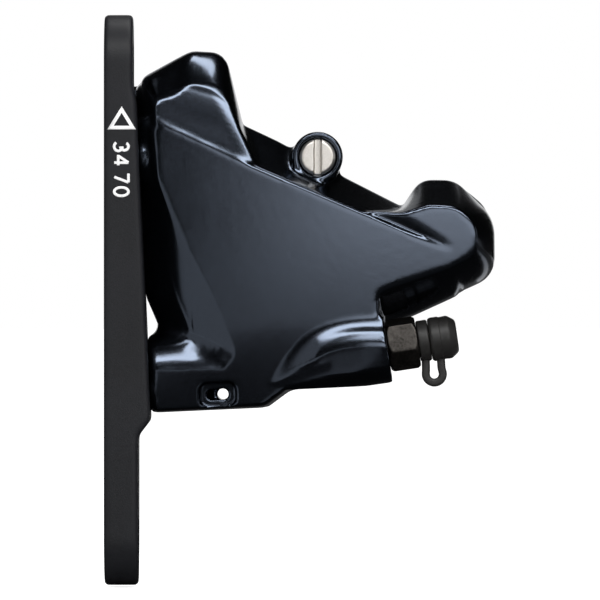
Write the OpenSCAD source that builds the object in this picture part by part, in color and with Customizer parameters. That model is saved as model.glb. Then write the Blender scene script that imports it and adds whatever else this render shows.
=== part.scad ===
// Hydraulic disc brake caliper with opposed pistons, on a plate for a flat fork mount.
// Origin: middle of the plate's fork face. +X points away from the fork, +Z runs up the
// plate, and the wheel's brake rotor turns in a plane at Y = rotor_offset.

/* [Mount plate] */
// Distance between the two fork bolts
fork_hole_spacing = 70.1; // [60:0.1:80]
// Width of the plate, which also sets its round ends
plate_width = 14.4; // [13:0.2:18]
// Thickness at the upper end
plate_top_thickness = 4.25; // [3.5:0.05:5]
// Thickness at the lower end
plate_bottom_thickness = 5.05; // [3.5:0.05:6]
// Thickness in the middle of the tilted seat
plate_seat_thickness = 5.8; // [5.6:0.1:9]
// Tilt of the seat, in degrees
seat_tilt = 2.6; // [0:0.1:4]
// Height of the seat's middle above the plate's middle
seat_rise = 5.8; // [3:0.1:9]
// Length of the tilted seat
seat_length = 47; // [45:0.5:50]
// Width of the fork bolt slots
fork_slot_width = 5.4; // [5:0.1:6.4]
// Length of the fork bolt slots, across the plate
fork_slot_length = 8.6; // [6.5:0.1:9]
// Radius of the plate's outside corners
plate_corner = 0.5; // [0.2:0.1:1]

/* [Caliper body] */
// Distance between the two bolts that hold the caliper to the plate
caliper_bolt_spacing = 34; // [33:0.1:36]
// Distance from the bolts' plane to the rotor's middle plane
rotor_offset = 13.7; // [13:0.1:15.5]
// Distance from the bolts' plane to the outer face
face_front = 4.8; // [4.4:0.1:6]
// Depth of the straight side walls from the rotor plane, outer half
side_depth = 9.5; // [8:0.1:11]
// Height of the lug's face below the outer face
lug_drop = 2.2; // [1:0.1:3]
// Depth of the inner half's flanks from the rotor plane
inner_depth = 12; // [11:0.1:13.5]
// Width of the slot that the rotor runs in
rotor_slot = 4.6; // [4:0.1:5.4]
// Outer radius of the lower right bulge
bulge_r = 8.3; // [7.5:0.1:9]

/* [Rotor and pads] */
// Rotor diameter
rotor_d = 160; // [140:20:180]
// Gap between the rotor's edge and the body
rotor_clearance = 1.3; // [0.8:0.1:2]
// Distance from the rotor's edge in to the pistons' axis
pad_inset = 8; // [7:0.1:9]
// Tilt of the pads' upright direction from the seat's normal, in degrees
pad_angle = 57.7; // [55:0.1:60]
// Width of a backing plate
pad_width = 25; // [23:0.1:25.4]
// Height of a backing plate without its tab
pad_height = 17.4; // [16:0.1:18.4]
// Thickness of a backing plate
pad_plate_thickness = 1.8; // [1.4:0.1:2.2]
// Width of a lining
lining_width = 20.4; // [18:0.1:21]
// Height of a lining
lining_height = 15; // [13:0.1:15.6]
// Thickness of a new lining
lining_thickness = 2.2; // [1.6:0.1:2.6]
// Gap between the linings with the pistons pushed back
pad_gap = 3; // [2.4:0.1:3.6]
// Play between a backing plate and the walls of its pocket
pad_play = 0.4; // [0.2:0.05:0.6]

/* [Pistons] */
// Piston diameter
piston_d = 22; // [20:0.1:23]
// Piston length
piston_length = 7.6; // [7.2:0.1:8.4]
// Depth of the fluid space behind a piston
fluid_gap = 0.7; // [0.4:0.1:1]
// Radial depth of a seal groove
seal_section = 1.9; // [1.5:0.1:2.2]
// Width of a seal
seal_width = 2; // [1.6:0.1:2.4]
// Wall of the inner cylinder
cylinder_wall = 2.6; // [2.4:0.1:3]

/* [Bolts] */
// Thread diameter of the caliper bolts
caliper_bolt_d = 5; // [4.5:0.1:5.2]
// Head diameter of the caliper bolts
caliper_head_d = 8.5; // [7.5:0.1:9]
// Head height of the caliper bolts
caliper_head_h = 2.4; // [2:0.1:2.6]
// Plate left under the heads
bolt_grip = 2.3; // [2:0.1:2.4]
// Depth of the caliper bolts' thread in the feet
caliper_thread = 8.5; // [7:0.1:9]
// Thread diameter of the bolts that clamp the halves
body_bolt_d = 5; // [4.5:0.1:5.4]
// Head diameter of those bolts
body_head_d = 7.2; // [6.6:0.1:8]
// Head height of those bolts
body_head_h = 4; // [3:0.1:4.6]
// Thread depth of those bolts in the outer half
body_thread = 9; // [7:0.1:10]

/* [Pad axle and spring] */
// Distance from a piston's edge to the middle of the pad axle
axle_gap = 4.4; // [4.2:0.1:5]
// Axle diameter
axle_d = 3.9; // [3.4:0.1:4.2]
// Diameter of the axle's threaded head
axle_head_d = 5.3; // [4.8:0.1:5.6]
// Radius of the boss round the axle
boss_r = 3.75; // [3.4:0.05:4.2]
// Width of the screwdriver slot
axle_slot = 1.05; // [0.8:0.05:1.4]
// Thickness of the leaf spring
spring_sheet = 0.35; // [0.25:0.05:0.45]

/* [Bleed nipple] */
// Tilt of the nipple from the seat's normal, in degrees
nipple_tilt = 6; // [4:0.1:7]
// Radius of the housing round the nipple
housing_r = 5.1; // [4.8:0.1:5.6]
// How far the housing stands out of the outer face
housing_proud = 1.2; // [0.6:0.1:1.6]
// Thread diameter of the nipple
nipple_d = 6; // [5.5:0.1:6.6]
// Width across the flats of its hexagon
hex_width = 7; // [6:0.1:8]
// Length of the hexagon
hex_length = 4.5; // [3.5:0.1:5]
// Diameter of the spout under the cap
spout_d = 4.4; // [3.8:0.1:4.6]
// Length of the rubber collar
collar_length = 1.7; // [1.2:0.1:2.2]
// Outer diameter of the cap
cap_d = 6.5; // [6:0.1:7]
// Length of the cap
cap_length = 4.1; // [3.6:0.1:5]

/* [Hose port] */
// Thread diameter of the hose port
port_d = 8; // [7:0.1:8.4]
// Depth of the hose port
port_depth = 10; // [8:0.1:11]

/* [Clearances] */
// Radial clearance of a piston, and of each seal on its piston
running_clearance = 0.04; // [0.02:0.01:0.08]
// Clearance of threads and of pieces that seat on each other
seat_clearance = 0.05; // [0.03:0.01:0.1]
// Radial clearance of bolts in plain holes
bolt_clearance = 0.2; // [0.1:0.05:0.4]

/* [Hidden] */
$fn = 64;
over = 1;
beyond = 40;
corner_steps = 4;
wall_rings = [0, 0.3, 0.55, 0.75, 0.9, 1];

graphite = [0.22, 0.24, 0.28];
black = [0.13, 0.13, 0.14];
steel = [0.75, 0.73, 0.71];
dark_steel = [0.25, 0.25, 0.26];
rubber = [0.1, 0.1, 0.1];
ceramic = [0.86, 0.84, 0.8];
lining_brown = [0.35, 0.27, 0.22];

// Stations along the seat, measured from its middle
bolt_drop = 1.8;
upper = caliper_bolt_spacing / 2 - bolt_drop;
lower = -caliper_bolt_spacing / 2 - bolt_drop;

// Depths from the rotor plane
face_depth = rotor_offset + face_front;
lug_depth = face_depth - lug_drop;
bulge_depth = face_depth - 0.4;
boss_depth = face_depth - 3;
axle_shoulder = boss_depth - 5;
head_seat = inner_depth - body_head_h + 0.5;
clip_depth = inner_depth + 0.6;
pad_back = pad_gap / 2 + lining_thickness + pad_plate_thickness;
pocket_depth = pad_back + 0.2;
piston_back = pad_back + piston_length;
bore_depth = piston_back + fluid_gap;
inner_end = bore_depth + 3.5;
seal_depth = pocket_depth + 2.2;
bore_r = piston_d / 2 + running_clearance;
groove_r = bore_r + seal_section;
seal_groove = seal_width + 2 * seat_clearance;
passage_r = 0.75;
inlet_depth = seal_depth + seal_groove + passage_r + 0.2;

// Pistons, rotor and pad axle, as places along and across the seat's normal
pad_up = [cos(pad_angle), sin(pad_angle)];
pad_side = [sin(pad_angle), -cos(pad_angle)];
axle_rise = piston_d / 2 + axle_gap;
axle_at = [26.35, 14.15];
piston_at = axle_at - axle_rise * pad_up;
rotor_at = piston_at - (rotor_d / 2 - pad_inset) * pad_up;
pocket_half = pad_width / 2 + pad_play;
tab_r = axle_d / 2 + 1.5;
clip_r = axle_d / 2 + 1;
clip_sheet = 0.6;
clip_groove = axle_d / 2 - 0.5;

// Bolts that clamp the halves, the fluid passage beside the lower one, and the bolts' key
lug_bolt_at = [10.8, 24.4];
bulge_at = [43.75, 1.03];
crossover_at = bulge_at + [4.1, -3.4];
crossover_depth = 2.8;
ring_section = 0.9;
ring_r = 1.5;
bolt_key = 4;

// Hose port on the inner half
port_at = [1.6, 26.4];
port_y = rotor_offset + 7.7;
port_wall = 1.3;

// Bleed nipple, from the end face of its housing
nipple_at = [35.4, -14.25];
nipple_y = rotor_offset - face_depth - housing_proud + housing_r;
nipple_thread = 8;
corner_r = hex_width / cos(30) / 2;
collar_start = hex_length + seat_clearance;
cap_start = collar_start + collar_length + seat_clearance;
spout_end = cap_start + cap_length - 1.2;
bleed_r = 0.8;
housing_length = 10.4;
strap_width = 2.2;
strap_sheet = 1.15;
strap_lean = 0.3;

// A point between two others
function between(a, b, t) = a + (b - a) * t;
function unit(v) = v / norm(v);
function turn(a, b) = a[0] * b[1] - a[1] * b[0];

// Points along an arc, from one angle to another
function arc(centre, r, from, to, steps) =
    [for (i = [0 : steps])
        let (angle = from + (to - from) * i / steps)
        centre + r * [cos(angle), sin(angle)]];

// One corner of an outline, rounded between its neighbours; a straight one stays straight
function round_corner(before, at, after, r) =
    let (a = unit(before - at), b = unit(after - at), half = acos(max(-1, a * b)) / 2)
    half > 89 ? [for (i = [0 : corner_steps]) at + (b - a) * (i / corner_steps - 0.5) * 0.5] :
    let (reach = min(r / tan(half), 0.42 * min(norm(before - at), norm(after - at))))
    let (rr = reach * tan(half), centre = at + unit(a + b) * rr / sin(half))
    let (p = at + a * reach - centre, q = at + b * reach - centre)
    let (from = atan2(p[1], p[0]), swept = atan2(turn(p, q), p * q))
    arc(centre, rr, from, from + swept, corner_steps);

// An outline with each corner rounded by its own radius
function rounded(corners) =
    let (n = len(corners), at = [for (c = corners) [c[0], c[1]]])
    [for (i = [0 : n - 1]) each round_corner(at[(i + n - 1) % n], at[i], at[(i + 1) % n], corners[i][2])];

// Triangles that fill an outline, found by cutting off one ear after another
function in_triangle(p, a, b, c) =
    turn(b - a, p - a) >= 0 && turn(c - b, p - b) >= 0 && turn(a - c, p - c) >= 0;
function is_ear(outline, left, i) =
    let (n = len(left), a = left[(i + n - 1) % n], b = left[i], c = left[(i + 1) % n])
    let (pa = outline[a], pb = outline[b], pc = outline[c])
    turn(pb - pa, pc - pb) > 0
    && len([for (k = left) if (k != a && k != b && k != c && in_triangle(outline[k], pa, pb, pc)) k]) == 0;
function first_ear(outline, left, i = 0) =
    i >= len(left) - 1 || is_ear(outline, left, i) ? i : first_ear(outline, left, i + 1);
function triangles(outline, left) =
    len(left) == 3 ? [left] :
    let (n = len(left), i = first_ear(outline, left))
    concat([[left[(i + n - 1) % n], left[i], left[(i + 1) % n]]],
        triangles(outline, [for (k = [0 : n - 1]) if (k != i) left[k]]));

// A closed skin over outlines of equally many points, each at its own depth, shallowest first
module skin(outlines, depths) {
    n = len(outlines[0]);
    last = len(outlines) - 1;
    all = [for (i = [0 : n - 1]) i];
    sides = [for (k = [0 : last - 1], i = all)
        let (p = k * n + i, q = k * n + (i + 1) % n) each [[p, q, p + n], [q, q + n, p + n]]];
    near_cap = [for (t = triangles(outlines[0], all)) [t[2], t[1], t[0]]];
    far_cap = [for (t = triangles(outlines[last], all)) [for (i = t) last * n + i]];
    points = [for (k = [0 : last], p = outlines[k]) [p[0], depths[k], p[1]]];
    polyhedron(points, concat(near_cap, sides, far_cap));
}

// Children drawn flat across the seat's normal, raised between two depths along Y
module slab(from, to) {
    translate([0, to, 0])
    rotate([90, 0, 0])
    linear_extrude(to - from)
    children();
}

// A round bar along Y between two depths, at a place across the seat's normal
module bar(at, r, from, to) {
    translate([at[0], to, at[1]])
    rotate([90, 0, 0])
    cylinder(r = r, h = to - from);
}

// A body turned round Y from a profile of [radius, depth] points
module turned(at, profile) {
    translate([at[0], 0, at[1]])
    rotate([-90, 0, 0])
    rotate_extrude()
    polygon(profile);
}

// A round drilling between two points
module drilling(from, to, r) {
    v = to - from;
    translate(from)
    rotate([0, acos(v[2] / norm(v)), atan2(v[1], v[0])])
    cylinder(r = r, h = norm(v));
}

// Frames: the caliper on its tilted seat, its two halves, the pads and the nipple
module on_seat() {
    translate([plate_seat_thickness, 0, seat_rise])
    rotate([0, -seat_tilt, 0])
    children();
}

module outer_half() {
    on_seat()
    translate([0, rotor_offset, 0])
    mirror([0, 1, 0])
    children();
}

module inner_half() {
    on_seat()
    translate([0, rotor_offset, 0])
    children();
}

module on_pad() {
    translate(piston_at)
    rotate(pad_angle - 90)
    children();
}

module on_nipple() {
    on_seat()
    translate([nipple_at[0], nipple_y, nipple_at[1]])
    rotate([0, 90 - nipple_tilt, 0])
    children();
}

// Corners of the outer half's main form, from the lower left foot and against the clock:
// [side outline, face outline, corner radius, wall], where the wall between the outlines
// is 0 straight, 1 rolled over into the face, 2 a deep scoop or 3 eased up to a crisp edge
main_form = [
    [[0, lower - 3.8], [0.5, lower - 3.3], 0.8, 1],
    [[17.2, lower - 3.8], [16.6, lower - 3.1], 2.5, 1],
    [[20.9, lower - 1.3], [20.7, lower - 0.3], 3, 1],
    [[34.7, lower - 0.9], [33.9, lower + 0.1], 1, 1],
    [[34.9, -11.3], [34.3, -6.2], 1, 3],
    [[39.4, -10], [35.6, -5.6], 1.5, 3],
    [[46.6, -7.1], [46, -2.8], 2, 3],
    [[48, 0], [45.6, -0.6], 1, 1],
    [[38.6, 6.3], [40, 2.05], 1, 0],
    [[30.4, 10.95], [30.4, 6.65], 8, 0],
    [[20.5, 16.9], [20.3, 11.5], 8, 0],
    [[14.6, 20], [14.6, 14.2], 4, 0],
    [[0, upper + 6.8], [2.7, upper + 5.2], 1.2, 1],
    [[0, 11], [2.6, 12], 8, 2],
    [[0, 1], [6.4, 1.9], 8, 2],
    [[0, -5.3], [10.1, -6.3], 3, 2],
    [[1.7, -9.8], [12.9, lower + 4.9], 2.2, 2],
    [[0, -11.8], [10.9, lower + 3.6], 2.2, 2],
    [[0, lower + 4.8], [0.6, lower + 3.8], 0.8, 2]];

// Share of the way from the side outline to the face outline at a share of the depth
function wall_share(kind, s) =
    kind == 1 ? 1 - sqrt(1 - s * s) : kind == 2 ? s * s * s : kind == 3 ? s * s : s;

// Corners of a form part of the way up its walls
function form_at(form, s) =
    [for (c = form) let (p = between(c[0], c[1], wall_share(c[3], s))) [p[0], p[1], c[2]]];

// A form with upright sides up to one depth, and walls that lean in up to its face
module walled(form, from, side, face) {
    skin([for (s = concat([0], wall_rings)) rounded(form_at(form, s))],
        concat([from], [for (s = wall_rings) side + (face - side) * s]));
}

lug_form = [
    [[0.7, 12.6], [1.6, 12.6], 0.5, 3],
    [[19.4, 12.6], [17.4, 12.6], 0.5, 3],
    [[15.6, 19], [14.4, 18], 2, 3],
    [[13.4, 30.3], [12.8, 25.2], 3.3, 3],
    [[8, 30.8], [8.6, 26.3], 4.5, 3],
    [[0.7, 27.1], [3.4, 23.7], 1.6, 3]];

// The outer face is part of a wide ball whose top lies over crown_at, and the foot below foot_turn
// is rolled back further
crown_at = [28, 2];
crown_r = 600;
foot_turn = -10;
foot_r = 100;

// Depth of the outer face at a place on it
function face_at(at) =
    face_depth - pow(norm(at - crown_at), 2) / (2 * crown_r)
    - pow(max(foot_turn - at[1], 0), 2) / (2 * foot_r);

// Keeps what lies under the crowned outer face
module crowned() {
    difference() {
        intersection() {
            children();
            translate([crown_at[0], face_depth - crown_r, crown_at[1]])
            sphere(r = crown_r, $fn = 240);
        }
        difference() {
            translate([-over, face_depth - foot_r / 4, foot_turn - beyond])
            cube([2 * beyond, foot_r / 4 + over, beyond]);
            translate([-2 * over, face_depth - foot_r, foot_turn])
            rotate([0, 90, 0])
            cylinder(r = foot_r, h = 3 * beyond, $fn = 240);
        }
    }
}

// Lug whose face bends back from the crease that starts at crease_at
module lug() {
    crease_at = [2.7, upper + 5.2];
    lean = [12.4, 0, 2.8];
    crease_turn = 27.5;
    intersection() {
        union() {
            walled(lug_form, 0, side_depth + 1, lug_depth);
            slab(lug_depth - 1, face_depth)
            polygon(rounded(form_at(lug_form, 1)));
        }
        translate([crease_at[0], face_at(crease_at), crease_at[1]])
        rotate([0, crease_turn, 0])
        rotate(lean)
        translate([-beyond, -2 * beyond, -beyond])
        cube(2 * beyond);
    }
}

// The bulge eases from a wide round side to a drop-shaped face with a crisp edge
function bulge_ring(s) =
    let (t = wall_share(3, s), r = between(bulge_r, 5, t), top = between([44, 6.4], [43.6, 2.4], t))
    concat(
        arc(bulge_at, r, -75, 48, 10),
        arc(top, between(3.9, 3.3, t), 45, 130, 6),
        [between([38.6, 6.4], [35.3, 5.6], t), between([37.6, 4], [35.6, 3.4], t), [39, -6]]);

module bulge(from, side, face) {
    skin([for (s = concat([0], wall_rings)) bulge_ring(s)],
        concat([from], [for (s = wall_rings) side + (face - side) * s]));
}

// Space swept by the rotor and the pads, with the bore and seal groove of one piston
module working_space() {
    bar(rotor_at, rotor_d / 2 + rotor_clearance, -over, rotor_slot / 2);
    slab(-over, pocket_depth)
    on_pad()
    translate([-pocket_half, -pad_height / 2 - pad_play])
    square([2 * pocket_half, beyond]);
    bar(piston_at, bore_r, 0, bore_depth);
    bar(piston_at, groove_r, seal_depth, seal_depth + seal_groove);
}

module mount_plate() {
    end = fork_hole_spacing / 2 + plate_width / 2;
    seat_top = seat_length / 2 - 0.5;
    seat_bottom = -seat_length / 2;
    function seat_point(w) = [plate_seat_thickness - w * sin(seat_tilt), seat_rise + w * cos(seat_tilt)];
    low = seat_point(seat_bottom);
    high = seat_point(seat_top);
    step = low[0] - plate_bottom_thickness;
    profile = [
        [0, -end, plate_corner],
        [plate_bottom_thickness, -end, plate_corner],
        [plate_bottom_thickness, low[1] - 1.3 * step, 1],
        [low[0], low[1], 0.6],
        [high[0], high[1], 2],
        [plate_top_thickness, high[1] + 3, 2],
        [plate_top_thickness, end, plate_corner],
        [0, end, plate_corner]];
    color(black)
    difference() {
        intersection() {
            slab(-plate_width / 2, plate_width / 2)
            polygon(rounded(profile));
            rotate([90, 0, 90])
            linear_extrude(3 * plate_seat_thickness, center = true)
            union() {
                square([plate_width, fork_hole_spacing], center = true);
                for (side = [-1, 1])
                    translate([0, side * fork_hole_spacing / 2])
                    circle(r = plate_width / 2);
            }
        }
        for (side = [-1, 1])
            translate([-over, 0, side * fork_hole_spacing / 2])
            fork_slot(plate_seat_thickness + 3 * over);
        on_seat()
        for (w = [lower, upper])
            translate([0, 0, w])
            rotate([0, 90, 0]) {
                cylinder(r = caliper_bolt_d / 2 + bolt_clearance, h = beyond, center = true);
                translate([0, 0, -bolt_grip - beyond])
                cylinder(r = caliper_head_d / 2 + bolt_clearance, h = beyond);
            }
    }
}

// A slot across the plate, with round ends
module fork_slot(depth) {
    reach = (fork_slot_length - fork_slot_width) / 2;
    rotate([0, 90, 0])
    linear_extrude(depth)
    union() {
        square([fork_slot_width, 2 * reach], center = true);
        for (side = [-1, 1])
            translate([0, side * reach])
            circle(r = fork_slot_width / 2);
    }
}

module caliper_bolts() {
    reach = bolt_grip + caliper_thread;
    color(dark_steel)
    on_seat()
    for (w = [lower, upper])
        translate([-bolt_grip, 0, w])
        rotate([0, 90, 0])
        socket_bolt(caliper_bolt_d, caliper_head_d, caliper_head_h, reach, bolt_key, 1.6);
}

// A bolt along +Z with its head below the origin and a hexagon socket in the head
module socket_bolt(d, head_d, head_h, reach, key, key_depth) {
    difference() {
        rotate_extrude()
        polygon([[0, -head_h], [head_d / 2 - 0.4, -head_h], [head_d / 2, -head_h + 0.4], [head_d / 2, 0],
            [d / 2, 0], [d / 2, reach - 0.5], [d / 2 - 0.5, reach], [0, reach]]);
        translate([0, 0, -head_h - over])
        cylinder(d = key / cos(30), h = key_depth + over, $fn = 6);
    }
}

module outer_body() {
    thread_r = caliper_bolt_d / 2 + seat_clearance;
    color(graphite)
    difference() {
        union() {
            outer_half() {
                crowned() {
                    walled(main_form, over, side_depth, face_depth);
                    lug();
                }
                bulge(0, side_depth + 0.6, bulge_depth);
                bar(axle_at, boss_r, over, boss_depth);
                upper_foot();
            }
            on_nipple()
            translate([0, 0, -housing_length])
            cylinder(r = housing_r, h = housing_length);
        }
        outer_half() {
            working_space();
            bar(axle_at, axle_d / 2 + bolt_clearance, 0, boss_depth + over);
            bar(axle_at, axle_head_d / 2 + seat_clearance, axle_shoulder, boss_depth + over);
            for (at = [lug_bolt_at, bulge_at])
                bar(at, body_bolt_d / 2 + seat_clearance, -over, body_thread + 1);
            crossover();
            drilling([nipple_at[0] - nipple_thread, rotor_offset - nipple_y, nipple_at[1] - 0.6],
                [piston_at[0] + 0.36 * bore_r, piston_back, piston_at[1] - 0.82 * bore_r], passage_r);
            pin_pocket();
        }
        on_seat()
        for (w = [lower, upper])
            translate([-over, 0, w])
            rotate([0, 90, 0])
            cylinder(r = thread_r, h = over + caliper_thread + 0.8);
        on_nipple()
        union() {
            translate([0, 0, -nipple_thread])
            cylinder(r = nipple_d / 2 + seat_clearance, h = nipple_thread + over);
            cylinder(r = corner_r + 1.5 * bolt_clearance, h = hex_length + over);
        }
    }
}

// Fluid passage from the joint between the halves to the back of a bore
module crossover() {
    bar(crossover_at, passage_r, -over, crossover_depth);
    drilling([crossover_at[0], crossover_depth - passage_r, crossover_at[1]],
        [piston_at[0] + 0.86 * bore_r, inlet_depth, piston_at[1] - 0.47 * bore_r], passage_r);
}

// Foot round the upper bolt, a little below the face
module upper_foot() {
    slab(side_depth - 4, face_depth - 1.6)
    polygon(rounded([[0, upper - 4.6, 2.5], [6, upper - 5.6, 0.5], [6, upper + 6.2, 0.5],
        [0, upper + 6.2, 1.2]]));
}

// Oblong pocket in the lower foot, and the small hole for a bolt-locking pin at its right end
module pin_pocket() {
    pin = [10.8, lower - 1.4];
    pin_r = 0.82;
    for (size = [[1.75, 5.4, 0.5, 1.7], [0.75, 2.6, 0.7, 1.3]])
        slab(face_at(pin) - size[2], face_depth + over)
        translate([pin[0] + pin_r - size[3], pin[1]])
        oblong(size[0], size[1] / 2 - size[0] / 2);
    bar(pin, pin_r, 0, face_depth + over);
}

module oblong(r, reach) {
    square([2 * reach, 2 * r], center = true);
    for (side = [-1, 1])
        translate([side * reach, 0])
        circle(r = r);
}

// Outline of the inner half's bridge, with the ends that the body bolts clamp
bridge_form = [
    [[6.8, 18], [6.8, 18], 0.5, 1],
    [[9, -8], [9, -8], 1, 1],
    [[34.5, -9.6], [34.4, -8.6], 4, 1],
    [[46.6, -7], [46, -6], 3, 1],
    [[51.7, -3.6], [50.7, -3], 5, 1],
    [[51.7, 5.4], [50.7, 5], 5, 1],
    [[46.6, 9.9], [46.4, 8.9], 4, 1],
    [[42, 9.9], [42.4, 8.9], 2, 1],
    [[38.3, 5.4], [38.3, 4.4], 2, 1],
    [[20.3, 16], [20, 15], 6, 1],
    [[15.2, 19.6], [14.4, 19], 3, 1],
    [[13.3, 29.6], [12.6, 28.7], 3, 1],
    [[6.8, 29.6], [7.4, 28.7], 2.6, 1]];

// Outline of its thicker middle, round the cylinder and below the hose port
core_form = [
    [[-0.4, 18], [0.6, 17.4], 1, 1],
    [[-0.4, 9], [0.6, 9.4], 3, 1],
    [[4.2, -2], [5.2, -1.6], 8, 1],
    [[10, -13], [10.8, -12], 8, 1],
    [[26, -13.4], [26, -12.4], 8, 1],
    [[36.4, -7], [35.4, -6.4], 5, 1],
    [[36.8, 3.4], [35.8, 3], 5, 1],
    [[20.3, 15.4], [20, 14.4], 6, 1],
    [[13.6, 18], [13, 17.4], 2, 1]];

module inner_body() {
    wall_r = groove_r + cylinder_wall - seal_section;
    color(graphite)
    difference() {
        union() {
            inner_half() {
                walled(bridge_form, 0, head_seat - 2, head_seat);
                walled(core_form, over, inner_depth - 3, inner_depth);
                turned(piston_at, [[0, over], [wall_r, over], [wall_r, inner_end - 1],
                    [wall_r - 1, inner_end], [0, inner_end]]);
                bar(axle_at, boss_r, over, clip_depth - seat_clearance);
            }
            on_seat()
            translate([port_at[0], port_y, port_at[1] - port_depth - 3])
            cylinder(r = port_d / 2 + port_wall, h = port_depth + 3);
        }
        inner_half() {
            working_space();
            bar(axle_at, axle_d / 2 + seat_clearance, 0, inner_depth + 3 * over);
            bar(axle_at, clip_r + bolt_clearance, clip_depth - seat_clearance, inner_end + over);
            for (at = [lug_bolt_at, bulge_at])
                bar(at, body_bolt_d / 2 + bolt_clearance, -over, inner_depth + over);
            crossover();
            bar(crossover_at, ring_r + ring_section / 2 + seat_clearance, -over, ring_section);
            drilling([port_at[0], port_y - rotor_offset, port_at[1] - port_depth + 1],
                [piston_at[0] - 0.83 * bore_r, inlet_depth, piston_at[1] + 0.5 * bore_r], passage_r);
        }
        on_seat()
        translate([port_at[0], port_y, port_at[1] - port_depth])
        cylinder(r = port_d / 2 - 0.3, h = port_depth + beyond);
    }
}

module body_bolts() {
    color(dark_steel)
    inner_half()
    for (at = [lug_bolt_at, bulge_at])
        translate([at[0], head_seat, at[1]])
        rotate([90, 0, 0])
        socket_bolt(body_bolt_d, body_head_d, body_head_h, head_seat + body_thread, bolt_key, 2.4);
}

module crossover_seal() {
    color(rubber)
    inner_half()
    translate([crossover_at[0], ring_section / 2, crossover_at[1]])
    rotate([90, 0, 0])
    rotate_extrude()
    translate([ring_r, 0])
    circle(d = ring_section - seat_clearance, $fn = 24);
}

// A cup that is open towards the pad, with a bevelled back edge
module piston() {
    r = piston_d / 2;
    color(ceramic)
    turned(piston_at, [[0, pad_back + 5.5], [r - 2.6, pad_back + 5.5], [r - 2.2, pad_back],
        [r - 0.3, pad_back], [r, pad_back + 0.3], [r, piston_back - 1.3], [r - 1.2, piston_back],
        [0, piston_back]]);
}

module outer_piston() {
    outer_half()
    piston();
}

module inner_piston() {
    inner_half()
    piston();
}

// A square ring that fills its groove and rubs on the piston
module piston_seal() {
    inside = piston_d / 2 + running_clearance;
    outside = groove_r - seat_clearance;
    from = seal_depth + seat_clearance;
    color(rubber)
    turned(piston_at, [[inside, from], [outside, from], [outside, from + seal_width],
        [inside, from + seal_width]]);
}

module outer_piston_seal() {
    outer_half()
    piston_seal();
}

module inner_piston_seal() {
    inner_half()
    piston_seal();
}

// Steel plate with a round tab that hangs on the axle
module pad_plate() {
    half = pad_width / 2;
    bottom = -pad_height / 2;
    top = pad_height / 2;
    neck = 0.8 * tab_r;
    color(dark_steel)
    difference() {
        slab(pad_gap / 2 + lining_thickness, pad_back)
        on_pad()
        union() {
            polygon(rounded([[-half, bottom, 2.5], [half, bottom, 2.5], [half, top, 1.5],
                [-half, top, 1.5]]));
            polygon([[-neck - 2, top - over], [neck + 2, top - over], [neck, axle_rise],
                [-neck, axle_rise]]);
            translate([0, axle_rise])
            circle(r = tab_r);
        }
        bar(axle_at, axle_d / 2 + bolt_clearance, 0, pad_back + over);
    }
}

module pad_lining() {
    half = lining_width / 2;
    color(lining_brown)
    slab(pad_gap / 2, pad_gap / 2 + lining_thickness)
    on_pad()
    polygon(rounded([[-half, -lining_height / 2, 3], [half, -lining_height / 2, 3],
        [half, lining_height / 2, 1.5], [-half, lining_height / 2, 1.5]]));
}

module outer_pad_plate() {
    outer_half()
    pad_plate();
}

module inner_pad_plate() {
    inner_half()
    pad_plate();
}

module outer_pad_lining() {
    outer_half()
    pad_lining();
}

module inner_pad_lining() {
    inner_half()
    pad_lining();
}

// Two forked leaves beside the linings, joined by a crown over the axle
module pad_spring() {
    leaf = pad_gap / 2 + lining_thickness - 0.2;
    crown = axle_rise + axle_d / 2 + 0.9;
    tip = -lining_height / 2 + 2;
    inside = lining_width / 2 + 0.4;
    outside = pad_width / 2 - 0.2;
    shoulder = lining_height / 2 + 0.4;
    band = shoulder + 1.4;
    tab = 2.6;
    color(steel)
    difference() {
        union() {
            for (half = [0, 1])
                on_seat()
                translate([0, rotor_offset, 0])
                mirror([0, half, 0])
                slab(leaf - spring_sheet, leaf)
                on_pad()
                polygon([[-outside, tip], [-inside, tip], [-inside, shoulder], [inside, shoulder],
                    [inside, tip], [outside, tip], [outside, band], [tab, band], [tab, crown],
                    [-tab, crown], [-tab, band], [-outside, band]]);
            inner_half()
            slab(-leaf, leaf)
            on_pad()
            translate([-tab, crown - spring_sheet])
            square([2 * tab, spring_sheet]);
        }
        inner_half()
        bar(axle_at, axle_d / 2 + bolt_clearance, -leaf - over, leaf + over);
    }
}

// Slotted pin: threaded head in the outer boss, plain shank, groove for the clip
module pad_axle() {
    head_r = axle_head_d / 2;
    r = axle_d / 2;
    head = -boss_depth - 0.3;
    tip = clip_depth + clip_sheet + 0.9;
    shoulder = -axle_shoulder - seat_clearance;
    groove_from = clip_depth - seat_clearance;
    groove_to = clip_depth + clip_sheet + seat_clearance;
    bevel = 0.42;
    color(steel)
    inner_half()
    difference() {
        turned(axle_at, [[0, head], [head_r - bevel, head], [head_r, head + bevel], [head_r, shoulder],
            [r, shoulder], [r, groove_from], [clip_groove, groove_from], [clip_groove, groove_to],
            [r, groove_to], [r, tip - bevel], [r - bevel, tip], [0, tip]]);
        translate([axle_at[0], head, axle_at[1]])
        rotate([0, seat_tilt, 0])
        cube([axle_slot, 2.4, 2 * axle_head_d], center = true);
    }
}

// Snap ring, open on one side
module pad_axle_clip() {
    color(steel)
    inner_half()
    difference() {
        bar(axle_at, clip_r, clip_depth, clip_depth + clip_sheet);
        bar(axle_at, clip_groove + seat_clearance, clip_depth - over, clip_depth + clip_sheet + over);
        slab(clip_depth - over, clip_depth + clip_sheet + over)
        translate(axle_at)
        rotate(pad_angle)
        translate([0, -clip_groove])
        square([2 * clip_r, 2 * clip_groove]);
    }
}

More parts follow.
